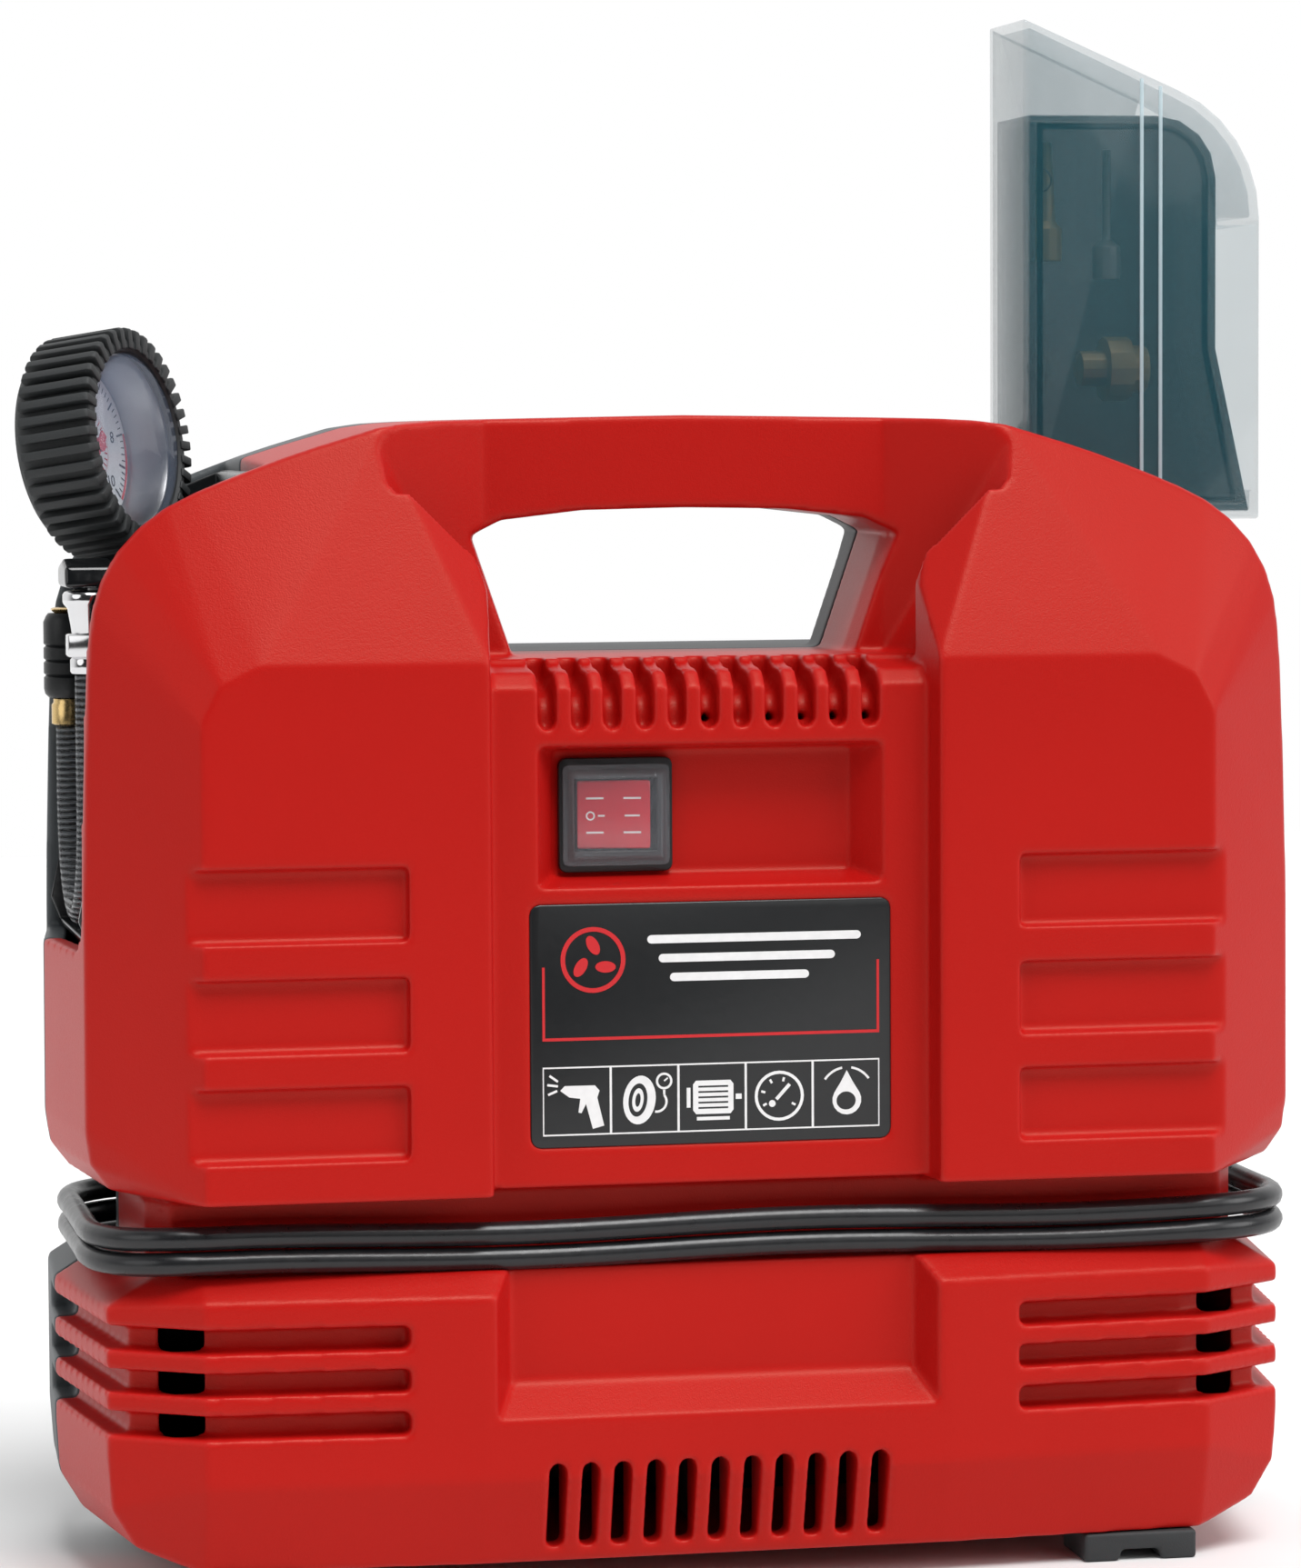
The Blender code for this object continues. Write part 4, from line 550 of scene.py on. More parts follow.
CORD_D = 6.2 * MM
HOSE_D = 7.5 * MM
BAND_HALF_W = 0.1607          # centreline of the turns round the neck
BAND_HALF_D = 0.0547
BAND_CORNER = 0.0267
LEAD_DEPTH = 0.0614           # how far back the lead lies where it joins the turns
TURN_LOW = 0.0884
TURN_RISE = 0.0065            # one turn lies this far above the other
JOIN_RUN = 0.050              # the lead comes in to the loop over this length
CLIMB_RUN = 0.080             # a turn climbs onto the next over this length
TURN_START = 0.045
TURN_STOP = -0.004
TURN_STEPS = 144
SAG = 0.0007                  # slight waves along the front
SAG_PACE = 42.0
LEAD_ROUTE = (
    (0.0654, 0.0500, 0.1270), (0.0564, 0.0508, 0.1260), (0.0404, 0.0575, 0.1150),
    (0.0274, LEAD_DEPTH, 0.1030), (0.0154, LEAD_DEPTH, 0.0930), (0.0034, LEAD_DEPTH, 0.0892),
)
END_ROUTE = (
    (0.0034, BAND_HALF_D, 0.1014), (-0.0066, BAND_HALF_D, 0.1024), (-0.0226, 0.0527, 0.1150),
    (-0.0386, 0.0500, 0.1260), (-0.0466, 0.0500, 0.1270),
)


def band_point(distance):
    """A point on the neck's round-cornered loop, going left along the back,
    forwards on the left and back again on the right, from the middle of the back."""
    straight_x = BAND_HALF_W - BAND_CORNER
    straight_y = BAND_HALF_D - BAND_CORNER
    quarter = BAND_CORNER * math.pi / 2
    legs = (("line", straight_x, (0, BAND_HALF_D), (-1, 0)),
            ("bend", quarter, (-straight_x, straight_y), 90),
            ("line", 2 * straight_y, (-BAND_HALF_W, straight_y), (0, -1)),
            ("bend", quarter, (-straight_x, -straight_y), 180),
            ("line", 2 * straight_x, (-straight_x, -BAND_HALF_D), (1, 0)),
            ("bend", quarter, (straight_x, -straight_y), 270),
            ("line", 2 * straight_y, (BAND_HALF_W, -straight_y), (0, 1)),
            ("bend", quarter, (straight_x, straight_y), 0),
            ("line", straight_x, (straight_x, BAND_HALF_D), (-1, 0)))
    left = distance
    for kind, size, start, way in legs:
        if left <= size:
            if kind == "line":
                return start[0] + way[0] * left, start[1] + way[1] * left
            turn = math.radians(way + 90 * left / size)
            return (start[0] + BAND_CORNER * math.cos(turn),
                    start[1] + BAND_CORNER * math.sin(turn))
        left -= size
    return 0.0, BAND_HALF_D


def band_length():
    """Once round the loop."""
    return (4 * (BAND_HALF_W - BAND_CORNER) + 4 * (BAND_HALF_D - BAND_CORNER)
            + 2 * math.pi * BAND_CORNER)


def eased(share):
    """A share from 0 to 1 with a slow start and end."""
    share = min(1.0, max(0.0, share))
    return share * share * (3 - 2 * share)


def power_cord():
    """The mains cord: out of its gland, twice round the neck, up to its plug."""
    loop = band_length()
    turns = []
    last = 2 * loop + TURN_STOP
    for k in range(TURN_STEPS + 1):
        run = TURN_START + (last - TURN_START) * k / TURN_STEPS
        x, y = band_point(run % loop)
        if run < JOIN_RUN:
            y += (LEAD_DEPTH - BAND_HALF_D) * (1 - eased(run / JOIN_RUN))
        height = TURN_LOW
        for lap in (1, 2):
            height += TURN_RISE * eased((run - (lap * loop - CLIMB_RUN)) / CLIMB_RUN)
        front = eased((-y - 0.045) / 0.008)
        height += front * SAG * math.sin(x * SAG_PACE + 0.6)
        turns.append((x, y, height))
    lead = flowing(LEAD_ROUTE, 16)
    end = flowing(END_ROUTE, 12)
    route = flowing([*lead[:-1], *turns, *end[1:]], 420)
    piece = cord_curve("power_cord", route, CORD_D, SHEATH)
    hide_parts("power_cord_lead", "power_cord_winding", "power_cord_end")
    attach(piece, "housing")
    return piece, route


HOSE_X = -0.158
HOSE_FRONT = -0.020
HOSE_REAR = 0.036
HOSE_TOP = 0.2397
HOSE_BEND_Z = 0.20325         # the middle of the bend at its foot


def inflator_hose():
    """The inflator's clear hose: down from its ferrule, round, and up to the chuck."""
    radius = (HOSE_REAR - HOSE_FRONT) / 2
    points = [(HOSE_X, HOSE_FRONT, HOSE_TOP), (HOSE_X, HOSE_FRONT, HOSE_BEND_Z + 0.014)]
    for k in range(9):
        turn = math.pi + math.pi * k / 8
        points.append((HOSE_X, (HOSE_FRONT + HOSE_REAR) / 2 + radius * math.cos(turn),
                       HOSE_BEND_Z + radius * math.sin(turn)))
    points += [(HOSE_X, HOSE_REAR, HOSE_BEND_Z + 0.012), (HOSE_X, HOSE_REAR, HOSE_BEND_Z + 0.020)]
    route = flowing(points, 90)
    piece = cord_curve("inflator_hose_tube", route, HOSE_D, HOSE)
    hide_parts("inflator_hose")
    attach(piece, "inflator")
    return piece, route


mains_cord, mains_route = power_cord()
air_hose, hose_route = inflator_hose()


# ------------------------------------------------------------------ shells

SHELL_VOXEL, SHELL_PASSES, SHELL_TRIANGLES = 0.0009, 5, 194000


def skinned(piece, voxel, passes):
    """The piece as one skin of small even faces, smoothed so that every edge is round."""
    remesh = piece.modifiers.new("skin", "REMESH")
    remesh.mode = "VOXEL"
    remesh.voxel_size = voxel
    soften = piece.modifiers.new("soften", "SMOOTH")
    soften.factor = 0.5
    soften.iterations = passes
    return apply_modifiers(piece)


def shaded_round(piece):
    """Every face shaded smooth."""
    for polygon in piece.data.polygons:
        polygon.use_smooth = True
    return piece


def moulded_shell(node, finish):
    """The shell's shape as one moulded skin, thinned to its number of triangles."""
    piece = skinned(copied(node, f"{node}_moulding"), SHELL_VOXEL, SHELL_PASSES)
    thin = piece.modifiers.new("thin", "DECIMATE")
    thin.ratio = min(1.0, SHELL_TRIANGLES / (2 * len(piece.data.polygons)))
    return finished(shaded_round(apply_modifiers(piece)), finish, node)


moulded_shell("front_shell", RED)
moulded_shell("rear_shell", GREY)


# ------------------------------------------------------------------ flat print

def printed(name, shapes, finish, face, thick, body, turn=None):
    """Shapes drawn as (x, z) outlines, printed on a face that looks to the front.
    A shape inside another is a hole in it."""
    data = bpy.data.curves.new(name, "CURVE")
    data.dimensions = "2D"
    data.fill_mode = "BOTH"
    data.extrude = thick / 2
    for shape in shapes:
        spline = data.splines.new("POLY")
        spline.points.add(len(shape) - 1)
        for spot, (x, z) in zip(spline.points, shape):
            spot.co = (x * MM, z * MM, 0, 1)
        spline.use_cyclic_u = True
    piece = placed(name, data)
    upright = Matrix.Rotation(math.radians(90), 4, "X")
    piece.matrix_world = ((turn or Matrix.Identity(4))
                          @ Matrix.Translation((0, face - thick / 2, 0)) @ upright)
    bpy.ops.object.convert(target="MESH")
    return finished_on(settle(bpy.context.object), finish, body)


def disc(x, z, radius, tall=None, steps=32, lean=0.0):
    """The outline of a circle, or of an ellipse `tall` half-high, turned by `lean`."""
    tall = tall or radius
    made = []
    for k in range(steps):
        turn = 2 * math.pi * k / steps
        a, b = radius * math.cos(turn), tall * math.sin(turn)
        made.append((x + a * math.cos(lean) - b * math.sin(lean),
                     z + a * math.sin(lean) + b * math.cos(lean)))
    return made


def bar(x0, z0, x1, z1, wide, round_ends=False):
    """A straight stroke's outline."""
    length = math.hypot(x1 - x0, z1 - z0)
    ux, uz = (x1 - x0) / length, (z1 - z0) / length
    half = wide / 2
    if not round_ends:
        return [(x0 - uz * half, z0 + ux * half), (x0 + uz * half, z0 - ux * half),
                (x1 + uz * half, z1 - ux * half), (x1 - uz * half, z1 + ux * half)]
    start = math.atan2(ux, -uz)
    made = []
    for base, (x, z) in ((start, (x0, z0)), (start + math.pi, (x1, z1))):
        for k in range(9):
            turn = base + math.pi * k / 8
            made.append((x + half * math.cos(turn), z + half * math.sin(turn)))
    return made


def sweep(x, z, radius, wide, start, end, steps=24):
    """A curved stroke's outline."""
    turns = [math.radians(start + (end - start) * k / steps) for k in range(steps + 1)]
    outer, inner = radius + wide / 2, radius - wide / 2
    return ([(x + outer * math.cos(t), z + outer * math.sin(t)) for t in turns]
            + [(x + inner * math.cos(t), z + inner * math.sin(t)) for t in reversed(turns)])


# ------------------------------------------------------------------ label

LABEL_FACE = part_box("label_plate")[0][1]
INK = 0.00012
STRIP_LOW, STRIP_HIGH = 119.4, 137.4      # the strip of signs, in millimetres
STRIP_LEFT = -45.0
SIGN_PITCH = 18.0


def label():
    """The front label: a red channel line, a plain mark and a strip of five signs."""
    plate = softened("label_plate", FILM, 0.0004, 2)
    plate.name = "label_film"
    u_line = [(-45.0, 163.5), (-45.0, 144.2), (45.0, 144.2), (45.0, 163.5), (44.3, 163.5),
              (44.3, 145.0), (-44.3, 145.0), (-44.3, 163.5)]
    printed("label_red_print", [u_line, *mark_ring()], PRINT_RED, LABEL_FACE, INK,
            "housing")
    white = [bar(-16.0 + 3 * k, 170.2 - 5.0 * k, 39.0 - 7 * k, 170.2 - 5.0 * k, 2.2, True)
             for k in range(3)]
    white += strip_frame() + spray_gun(-36.0) + tyre(-17.8) + motor_sign(0.3)
    white += dial_sign(18.0) + drop_sign(36.2)
    printed("label_white_print", white, PRINT_WHITE, LABEL_FACE, INK, "housing")


def mark_ring():
    """A ring with a three-bladed fan, which stands for no maker."""
    x, z = -31.5, 165.2
    shapes = [disc(x, z, 8.6, steps=48), disc(x, z, 7.4, steps=48)]
    for k in range(3):
        turn = math.radians(90 + 120 * k)
        shapes.append(disc(x + 3.8 * math.cos(turn), z + 3.8 * math.sin(turn), 2.7, 1.5,
                           lean=turn + 0.5))
    return shapes


def rectangle(x0, z0, x1, z1):
    """The outline of an upright rectangle."""
    return [(x0, z0), (x1, z0), (x1, z1), (x0, z1)]


def strip_frame():
    """Five boxes in a row."""
    edges = [STRIP_LEFT + SIGN_PITCH * k for k in range(6)]
    shapes = [rectangle(edges[0], STRIP_LOW, edges[-1], STRIP_HIGH)]
    for left, right in zip(edges, edges[1:]):
        shapes.append(rectangle(left + 0.3, STRIP_LOW + 0.4, right - 0.3, STRIP_HIGH - 0.4))
    return shapes


def spray_gun(x):
    """Sign: a spray gun."""
    z = 128.6
    return [
        [(x - 3.2, z + 3.8), (x + 4.8, z + 3.8), (x + 6.0, z + 2.4), (x + 5.4, z + 0.6),
         (x + 7.2, z - 6.8), (x + 4.2, z - 7.6), (x + 2.4, z - 1.0), (x + 1.2, z - 3.4),
         (x + 0.4, z - 3.2), (x + 0.9, z + 0.4), (x - 2.0, z + 0.8), (x - 4.4, z + 2.6)],
        bar(x - 5.2, z + 2.6, x - 7.6, z + 1.6, 0.6),
        bar(x - 5.0, z + 3.8, x - 7.8, z + 4.2, 0.6),
        bar(x - 5.0, z + 5.0, x - 7.2, z + 6.6, 0.6),
    ]


def tyre(x):
    """Sign: a tyre with a gauge on its hose."""
    z = 128.2
    return [
        disc(x - 1.6, z, 4.3, 6.4, lean=-0.12), disc(x - 2.0, z, 2.5, 4.4, lean=-0.12),
        disc(x - 2.0, z, 1.5, 3.1, lean=-0.12), disc(x - 2.0, z, 0.7, 1.8, lean=-0.12),
        disc(x + 5.0, z + 4.8, 2.2), disc(x + 5.0, z + 4.8, 1.6),
        bar(x + 5.0, z + 4.8, x + 6.0, z + 5.6, 0.4),
        sweep(x + 3.0, z - 0.6, 2.6, 0.6, -100, 40), bar(x + 5.0, z + 1.2, x + 5.0, z + 2.5, 0.6),
    ]


def motor_sign(x):
    """Sign: a finned motor."""
    z = 128.4
    shapes = [[(x - 4.6, z - 4.4), (x + 4.6, z - 4.4), (x + 5.4, z - 3.4), (x + 5.4, z + 3.4),
               (x + 4.6, z + 4.4), (x - 4.6, z + 4.4), (x - 5.4, z + 3.4), (x - 5.4, z - 3.4)]]
    shapes += [bar(x - 4.0, z + dz, x + 4.0, z + dz, 0.5) for dz in (-2.8, -1.4, 0.0, 1.4, 2.8)]
    shapes += [bar(x + 6.0, z, x + 7.6, z, 1.4), bar(x - 6.6, z - 2.6, x - 6.6, z + 2.6, 1.0)]
    shapes += [bar(x - 4.4, z - 5.6, x + 4.4, z - 5.6, 0.9)]
    return shapes


def dial_sign(x):
    """Sign: a dial with its hand."""
    z = 128.2
    shapes = [disc(x, z, 6.6), disc(x, z, 5.8), bar(x - 0.8, z - 0.9, x + 2.8, z + 3.0, 0.9),
              disc(x - 1.9, z - 2.0, 0.9)]
    for degrees in (210, 165, 120, 75, -30):
        turn = math.radians(degrees)
        shapes.append(bar(x + 3.9 * math.cos(turn), z + 3.9 * math.sin(turn),
                          x + 5.0 * math.cos(turn), z + 5.0 * math.sin(turn), 0.6))
    return shapes


def drop_sign(x):
    """Sign: a drop between two arcs."""
    z = 127.4
    tip = [(x, z + 7.0), (x + 1.6, z + 4.0)]
    round_part = [(x + 3.9 * math.sin(t), z - 0.8 - 3.9 * math.cos(t))
                  for t in [math.radians(120 - 20 * k) for k in range(13)]]
    return [tip + round_part + [(x - 1.6, z + 4.0)],
            disc(x - 0.2, z - 1.0, 2.6, 2.4), sweep(x, z + 0.6, 7.2, 0.6, 35, 80),
            sweep(x, z + 0.6, 7.2, 0.6, 100, 145)]


label()


# ------------------------------------------------------------------ switch

SWITCH_X = -0.0236
SWITCH_AXIS_Y = -0.0433
SWITCH_LEAN = -7.0            # degrees the rocker is pressed at rest
ROCKER_HALF = 4.9             # millimetres from the axis to the middle of each half


def switch():
    """The rocker under its clear cap, with six ticks and its two signs."""
    softened("switch_bezel", BLACK, 0.0009, 3)
    softened("switch_cap", CLEAR, 0.0008, 4)
    softened("rocker", SIGNAL, 0.0006, 3)
    lean = (Matrix.Translation((SWITCH_X, SWITCH_AXIS_Y, 0))
            @ Matrix.Rotation(math.radians(SWITCH_LEAN), 4, "Z")
            @ Matrix.Translation((-SWITCH_X, -SWITCH_AXIS_Y, 0)))
    slope = math.atan2(0.6, 2 * ROCKER_HALF)
    for side, name in ((-1, "off"), (1, "on")):
        middle = SWITCH_X / MM + side * ROCKER_HALF
        shapes = [bar(middle - 2.3, z, middle + 2.3, z, 0.5) for z in (206.6, 197.6)]
        if side < 0:
            shapes += [disc(middle - 1.2, 202.0, 1.2), disc(middle - 1.2, 202.0, 0.8),
                       bar(middle + 0.8, 202.0, middle + 2.6, 202.0, 0.45)]
        else:
            shapes += [bar(middle - 2.0, 202.0, middle + 2.0, 202.0, 0.5)]
        face = SWITCH_AXIS_Y - 3.3 * MM
        tip = (Matrix.Translation((middle * MM, face, 0))
               @ Matrix.Rotation(-side * slope, 4, "Z")
               @ Matrix.Translation((-middle * MM, -face, 0)))
        printed(f"rocker_print_{name}", shapes, PRINT_WHITE, face, 0.0001, "rocker",
                lean @ tip)


switch()


# ------------------------------------------------------------------ gauge

GAUGE_AT = Vector((-0.152, 0.007, 0.2995))
GAUGE_AXIS = Vector((0.83051, -0.53934, 0.13917)).normalized()
GAUGE_UP = (Vector((0, 0, 1)) - GAUGE_AXIS * GAUGE_AXIS.z).normalized()
GAUGE_FRAME = Matrix.Translation(GAUGE_AT) @ Matrix(
    (GAUGE_UP.cross(GAUGE_AXIS), GAUGE_UP, GAUGE_AXIS)).transposed().to_4x4()
RIBS = 40
BOOT_PROFILE = (
    (0, -12.5), (22.5, -12.5), (25.4, -11.2), (26.9, -8.6), (27.0, 10.6), (26.4, 11.6),
    (25.4, 12.0), (24.2, 12.0), (23.5, 11.2), (23.5, -6.4), (0, -6.4))
RIB_OUTLINE = (
    (26.6, -8.0), (28.3, -8.9), (29.4, -8.4), (29.65, -7.8), (29.65, 11.2), (29.3, 12.2),
    (28.6, 12.5), (24.0, 12.5), (23.9, 11.8), (26.6, 11.2))
LENS_PROFILE = (
    (0, 11.0), (18.6, 10.9), (21.6, 9.2), (22.4, 8.8), (23.1, 8.9), (23.15, 10.2),
    (22.6, 11.2), (20.4, 12.6), (12.0, 13.4), (0, 13.65))
RIM_PROFILE = (
    (0, -6.15), (23.15, -6.15), (23.15, 8.5), (22.6, 8.5), (21.9, 7.0), (21.75, -4.1),
    (0, -4.1))
FACE_PROFILE = ((0, -3.9), (21.2, -3.9), (21.6, -3.4), (21.2, -2.95), (0, -2.9))
DIAL_FACE = 2.86 * MM         # how far behind the gauge's middle the print lies
DIAL_START = 225.0            # degrees, where the scale begins
DIAL_SWEEP = 270.0
SCALE_STEPS = 50
INNER_STEPS = 25
SCALE_R = 19.6                # millimetres
NUMBER_R = 13.6
NUMBER_SIZE = 4.4


def millimetres(profile):
    """A profile in millimetres, in metres."""
    return [(radius * MM, height * MM) for radius, height in profile]


def on_gauge(piece):
    """Move a piece made at the origin, facing up, onto the gauge."""
    piece.matrix_world = GAUGE_FRAME @ piece.matrix_world
    return settle(piece)


def gauge():
    """A pressure gauge in a ribbed rubber boot."""
    boot = turned("boot_body", millimetres(BOOT_PROFILE), ORIGIN, UPWARDS, 80)
    rib = bevelled(plate_between("rib", RIB_OUTLINE, 0.0023), 0.0003, 2)
    ribs = []
    for k in range(RIBS):
        one = placed("rib", rib.data.copy())
        one.matrix_world = Matrix.Rotation(2 * math.pi * (k + 0.5) / RIBS, 4, "Z")
        ribs.append(settle(one))
    bpy.data.objects.remove(rib)
    boot = on_gauge(joined("gauge_boot_rubber", boot, *ribs))
    finished(boot, RUBBER, "gauge_boot")
    for name, profile, finish, node in (
            ("gauge_window", LENS_PROFILE, LENS, "gauge_lens"),
            ("gauge_rim", RIM_PROFILE, STEEL, "gauge_case"),
            ("gauge_face", FACE_PROFILE, DIAL, "gauge_dial")):
        piece = turned(name, millimetres(profile), ORIGIN, UPWARDS, 80)
        finished(on_gauge(piece), finish, node)
    dial_print()


def spoke(share, inner, outer, wide):
    """A mark that points outwards at a share of the dial's scale."""
    turn = math.radians(DIAL_START - DIAL_SWEEP * share)
    across, up = math.cos(turn), math.sin(turn)
    return bar(inner * across, inner * up, outer * across, outer * up, wide)


def dial_print():
    """Scale, red zone and numbers on the gauge's face."""
    black, red = [], []
    for k in range(SCALE_STEPS + 1):
        major = k % 5 == 0
        inner = SCALE_R - (3.2 if major else 1.7)
        black.append(spoke(k / SCALE_STEPS, inner, SCALE_R, 0.55 if major else 0.28))
    red.append(sweep(0, 0, 20.4, 0.9, 9, DIAL_START - DIAL_SWEEP))
    red.append(sweep(0, 0, 10.0, 0.5, DIAL_START, DIAL_START - DIAL_SWEEP, 48))
    for k in range(INNER_STEPS + 1):
        red.append(spoke(k / INNER_STEPS, 8.2, 9.8, 0.35))
    place = GAUGE_FRAME @ Matrix.Rotation(math.radians(-90), 4, "X")
    printed("dial_scale", black, PRINT_BLACK, DIAL_FACE, 0.00006, "inflator",
            place)
    printed("dial_inner_scale", red, PRINT_RED, DIAL_FACE, 0.00006, "inflator",
            place)
    digits = []
    for k in range(6):
        turn = math.radians(DIAL_START - DIAL_SWEEP * k / 5)
        bpy.ops.object.select_all(action="DESELECT")
        bpy.ops.object.text_add(location=(NUMBER_R * MM * math.cos(turn),
                                          NUMBER_R * MM * math.sin(turn), -DIAL_FACE))
        digit = bpy.context.object
        digit.data.body = str(2 * k)
        digit.data.size = NUMBER_SIZE * MM
        digit.data.extrude = 0.00003
        digit.data.align_x = "CENTER"
        digit.data.align_y = "CENTER"
        take(digit)
        bpy.ops.object.convert(target="MESH")
        digits.append(bpy.context.object)
    numbers = on_gauge(joined("dial_numbers", *digits))
    finished_on(numbers, PRINT_BLACK, "inflator")


gauge()


# ------------------------------------------------------------------ inflator

ELBOW_VOXEL, ELBOW_PASSES = 0.0005, 40
FERRULE_PROFILE = (
    (0, 0), (4.5, 0), (4.9, 0.6), (4.9, 3.6), (4.4, 4.2), (4.4, 10.4), (4.7, 12.5), (5.5, 17.0),
    (6.5, 18.2), (6.7, 18.8), (6.7, 20.6), (6.2, 21.3), (5.0, 21.7), (0, 21.7))
NUT_MIDDLE = 0.0074           # above the ferrule's foot
SLEEVE_PROFILE = (
    (3.4, 7.6), (5.6, 7.6), (6.6, 8.6), (6.9, 10.0), (6.9, 13.0), (6.3, 13.6), (6.9, 14.2),
    (6.9, 17.0), (6.3, 17.6), (6.9, 18.2), (6.9, 21.0), (6.3, 21.6), (6.9, 22.2), (6.9, 28.0),
    (6.2, 29.6), (5.6, 30.4), (3.4, 30.4), (3.4, 7.6))
NOSE_PROFILE = (
    (0, 0), (4.0, 0), (4.9, 0.5), (4.9, 5.6), (4.4, 6.2), (4.4, 7.2), (3.2, 7.8), (3.2, 30.0),
    (4.6, 31.0), (4.9, 31.6), (4.2, 31.9), (0, 31.9))


def foot_of(node):
    """The middle of the underside of a node's box."""
    low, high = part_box(node)
    return Vector(((low[0] + high[0]) / 2, (low[1] + high[1]) / 2, low[2]))


def inflator_fittings():
    """Elbow, ferrule and nut, and the chuck at the hose's end."""
    elbow = skinned(copied("inflator_elbow", "elbow_moulding"), ELBOW_VOXEL, ELBOW_PASSES)
    finished(shaded_round(elbow), GLOSS_BLACK, "inflator_elbow")
    foot = foot_of("hose_connector")
    ferrule = turned("ferrule", millimetres(FERRULE_PROFILE), foot, UPWARDS, 48)
    bpy.ops.object.select_all(action="DESELECT")
    bpy.ops.mesh.primitive_cylinder_add(vertices=6, radius=0.0067, depth=0.0060,
                                        location=foot + Vector((0, 0, NUT_MIDDLE)))
    nut = bevelled(settle(bpy.context.object), 0.0006, 3)
    finished(joined("hose_ferrule", ferrule, nut), CHROME, "hose_connector")
    foot = foot_of("tyre_chuck")
    sleeve = turned("chuck_sleeve", millimetres(SLEEVE_PROFILE), foot, UPWARDS, 48)
    finished_on(sleeve, BLACK, "inflator")
    nose = turned("chuck_nose", millimetres(NOSE_PROFILE), foot, UPWARDS, 48)
    finished(nose, BRASS, "tyre_chuck")
    softened("inflator_body", BLACK, 0.0011, 4)
    softened("trigger", CHROME, 0.0006, 3)
    softened("bleed_button", BRASS, 0.0004, 3)
    return nose, sleeve


chuck_nose, chuck_sleeve = inflator_fittings()


# ------------------------------------------------------------------ accessory case

COVER_RIBS_X = (0.1378, 0.1432)
COVER_RIB_WIDE = 0.0011
COVER_TOP_FALL = 0.39         # the cover's top falls this much to the right
LID_THICK = 0.0009
LID_RINGS = ((0.1095, 0.3708), (0.1352, 0.3790), (0.1090, 0.3190), (0.1510, 0.3120))
TRAY_LID = (                  # anticlockwise, in millimetres
    (108.6, 239.8), (137.0, 239.8), (147.6, 250.4), (147.6, 281.6), (166.6, 281.6),
    (157.8, 324.4), (157.8, 371.7), (156.6, 377.4), (153.2, 382.4), (148.4, 385.5),
    (143.0, 386.5), (108.6, 386.5))


def accessory_case():
    """Smoke-clear cover with two ribs in a pale colour that paints their highlight, over a darker
    tray with a frosted lid and a rim.
    """
    softened("case_cover", SMOKE_LIGHT, 0.0009, 3)
    softened("case_tray", SMOKE_DARK, 0.0006, 3)
    low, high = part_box("case_cover")
    ribs = []
    for x in COVER_RIBS_X:
        top = high[2] - 0.003 - max(0.0, (x - low[0]) * COVER_TOP_FALL)
        rib = block("rib", (x - COVER_RIB_WIDE / 2, low[1] - 0.00042, low[2] + 0.012),
                    (x + COVER_RIB_WIDE / 2, low[1] - 0.00002, top))
        ribs.append(bevelled(rib, 0.0002, 2))
    # The ribs are coloured pale blue-white as a painted highlight along each rib.
    finished_on(joined("case_ribs", *ribs), SMOKE_RIB_HIGHLIGHT, "accessory_case")
    tray_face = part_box("case_tray")[0][1]
    lid = plate_between("case_lid", TRAY_LID, LID_THICK)
    lid.location = (0, tray_face + 0.0010, 0)
    marks = [bevelled(settle(lid), 0.00035, 3)]
    for x, z in LID_RINGS:
        bpy.ops.object.select_all(action="DESELECT")
        bpy.ops.mesh.primitive_torus_add(
            major_radius=0.0032, minor_radius=0.00022, major_segments=40, minor_segments=8,
            location=(x, tray_face + 0.00050, z), rotation=(math.radians(90), 0, 0))
        marks.append(smooth(settle(bpy.context.object)))
    lid = joined("case_lid", *marks)
    finished_on(lid, SMOKE_FROST, "accessory_case")
    strip = plate_ring("case_tray_rim", millimetres(TRAY_LID), 0.0017, tray_face + 0.0003, 0.0006)
    finished_on(strip, SMOKE_RIM, "accessory_case")
    softened("brass_adapter", SATIN_BRASS, 0.0004, 3)
    softened("cone_nozzle", SATIN_BRASS, 0.0003, 2)
    softened("ball_needle", SATIN_CHROME, 0.0003, 2)


def plate_ring(name, outline, wide, face, thick):
    """A flat strip just inside an anticlockwise outline of (x, z) points."""
    inner = []
    for k, (x, z) in enumerate(outline):
        before, after = outline[k - 1], outline[(k + 1) % len(outline)]
        one = Vector((x - before[0], z - before[1])).normalized()
        two = Vector((after[0] - x, after[1] - z)).normalized()
        way = Vector((-one[1] - two[1], one[0] + two[0])).normalized()
        reach = wide / max(0.35, way.dot(Vector((-one[1], one[0]))))
        inner.append((x + way[0] * reach, z + way[1] * reach))
    count = len(outline)
    points = [(x, face, z) for x, z in [*outline, *inner]]
    faces = [(k, (k + 1) % count, count + (k + 1) % count, count + k) for k in range(count)]
    return bevelled(thickened(name, points, faces, thick), 0.00012, 2)


accessory_case()


# ------------------------------------------------------------------ other pieces

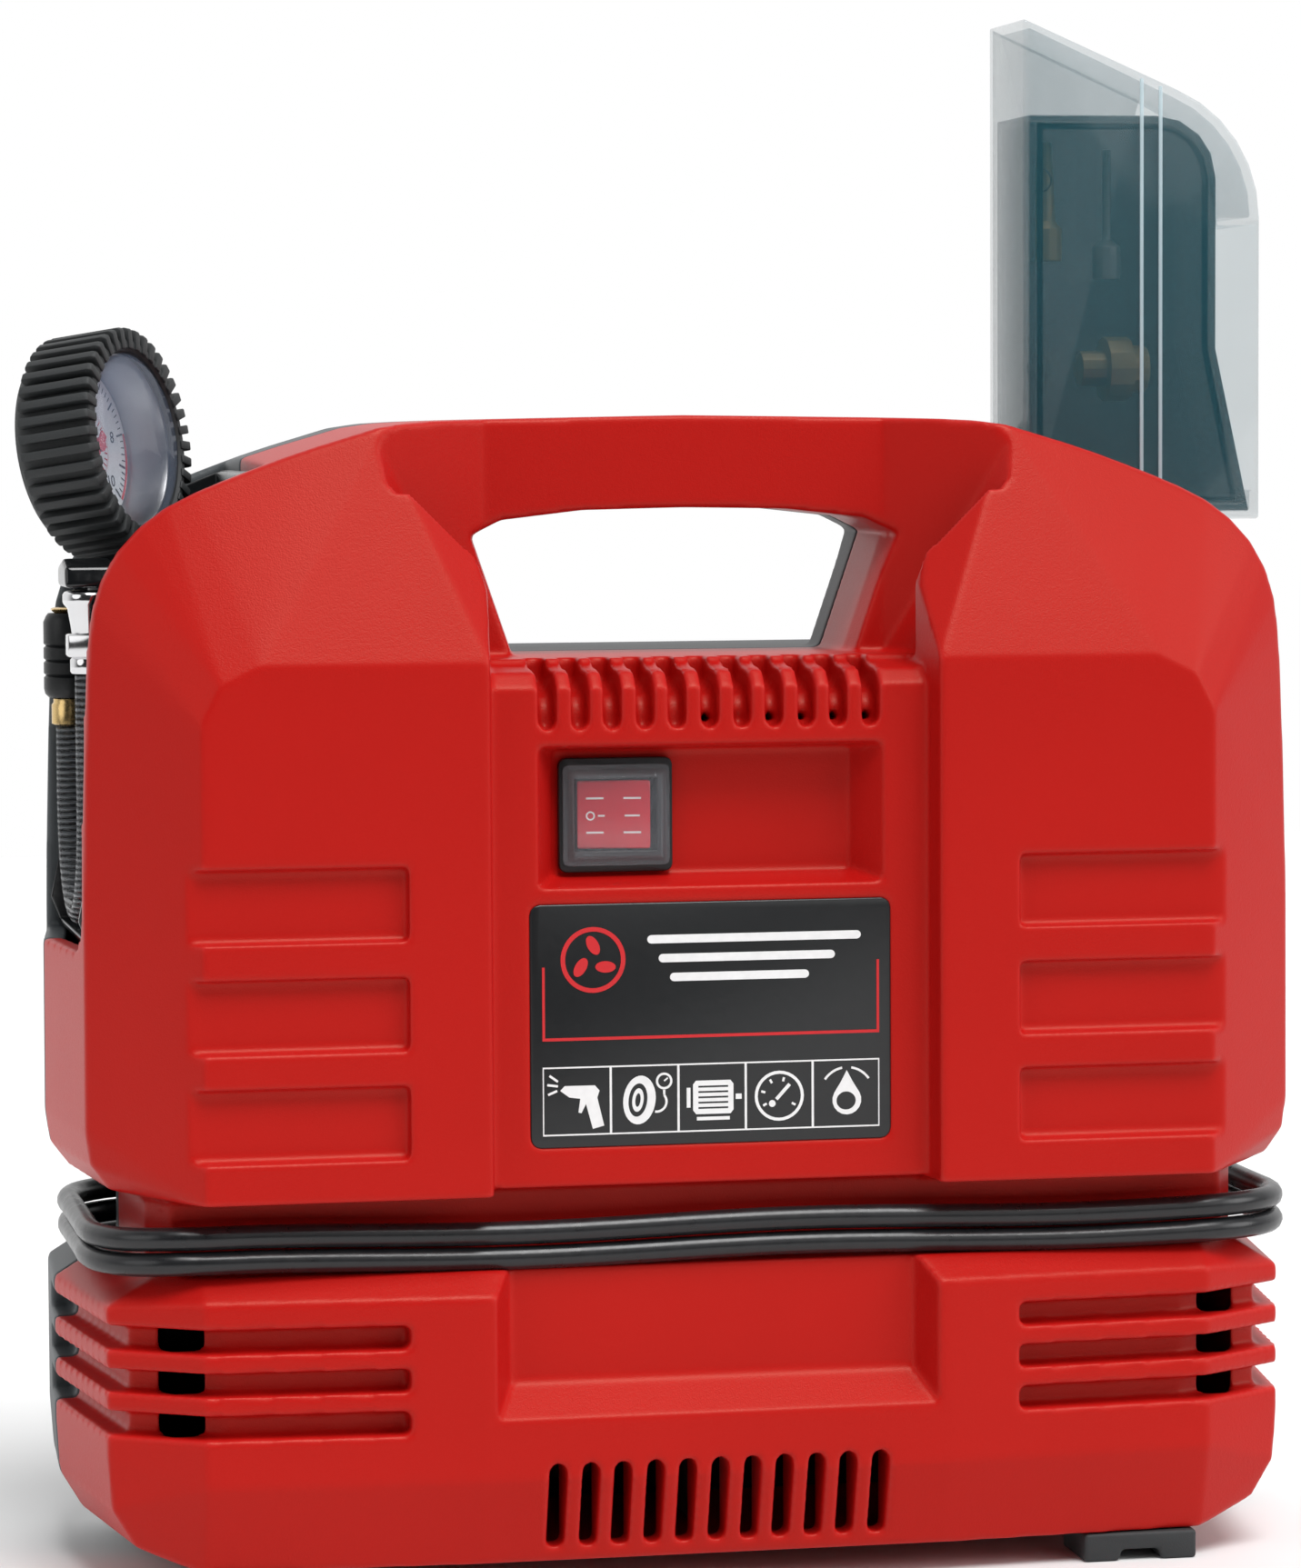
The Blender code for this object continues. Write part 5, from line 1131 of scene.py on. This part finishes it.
for plain_node, plain_finish, rounding in (
        ("tool_bay_liner", LINER, 0.0009), ("case_guide", GREY, 0.0005),
        ("foot_front_left", RUBBER, 0.0010), ("foot_front_right", RUBBER, 0.0010),
        ("foot_rear_left", RUBBER, 0.0010), ("foot_rear_right", RUBBER, 0.0010),
        ("mains_plug", RUBBER, 0.0016), ("plug_relief", RUBBER, 0.0005),
        ("cord_gland", RUBBER, 0.0005), ("housing_screw_1", STEEL, 0.0004),
        ("housing_screw_2", STEEL, 0.0004), ("housing_screw_3", STEEL, 0.0004)):
    softened(plain_node, plain_finish, rounding, 3)


# ------------------------------------------------------------------ stage

WORLD_FRONT = 0.03            # the sky's strength in front of the machine, and behind it
WORLD_BACK = 1.0
PAPER_LIGHT, PAPER_DARK = 0.80, 0.77
SUNS = (                      # name, way to the light, strength, spread in degrees
    ("right", (0.92, -0.50, 0.50), 1.10, 35),
    ("left", (-0.92, -0.45, 0.45), 0.50, 40),
    ("top", (0.12, -0.50, 1.0), 2.75, 32),
    ("front", (0.45, -1.0, 0.50), 0.22, 30),
)


def make_floor():
    """A wide sheet of pale paper."""
    bpy.ops.object.select_all(action="DESELECT")
    bpy.ops.mesh.primitive_plane_add(size=4.0, location=(0, 0.4, 0))
    floor = bpy.context.object
    floor.name = "floor"
    paper = Finish("paper", roughness=0.9)
    tone = paper.noise(3.0)
    paper.set("Base Color", paper.blend(tone, rgba(*[PAPER_LIGHT] * 3), rgba(*[PAPER_DARK] * 3)))
    floor.data.materials.append(paper.material)


def make_sky():
    """White behind, nearly dark in front, and white wherever the camera looks past."""
    world = bpy.data.worlds.new("studio")
    world.use_nodes = True
    tree = world.node_tree
    sky = tree.nodes["Background"]
    place = tree.nodes.new("ShaderNodeTexCoord")
    split = tree.nodes.new("ShaderNodeSeparateXYZ")
    tree.links.new(place.outputs["Generated"], split.inputs[0])
    behind = tree.nodes.new("ShaderNodeMapRange")
    behind.interpolation_type = "SMOOTHSTEP"
    behind.inputs["From Min"].default_value = -0.35
    behind.inputs["From Max"].default_value = 0.55
    behind.inputs["To Min"].default_value = WORLD_FRONT
    behind.inputs["To Max"].default_value = WORLD_BACK
    tree.links.new(split.outputs["Y"], behind.inputs["Value"])
    seen = tree.nodes.new("ShaderNodeLightPath")
    either = tree.nodes.new("ShaderNodeMath")
    either.operation = "MAXIMUM"
    tree.links.new(behind.outputs["Result"], either.inputs[0])
    tree.links.new(seen.outputs["Is Camera Ray"], either.inputs[1])
    tree.links.new(either.outputs[0], sky.inputs["Strength"])
    sky.inputs["Color"].default_value = rgba(1.0, 1.0, 1.0)
    bpy.context.scene.world = world


def make_suns():
    """Broad studio lights."""
    for name, towards, strength, spread in SUNS:
        light = bpy.data.lights.new(name, "SUN")
        light.energy = strength
        light.angle = math.radians(spread)
        lamp = bpy.data.objects.new(name, light)
        lamp.rotation_euler = Vector(towards).to_track_quat("Z", "Y").to_euler()
        bpy.context.scene.collection.objects.link(lamp)


make_floor()
make_sky()
make_suns()
bpy.context.scene.view_settings.view_transform = "Standard"


# ------------------------------------------------------------------ lengths of the cord and the hose, worked out and not used

length_of(mains_route)
length_of(hose_route)
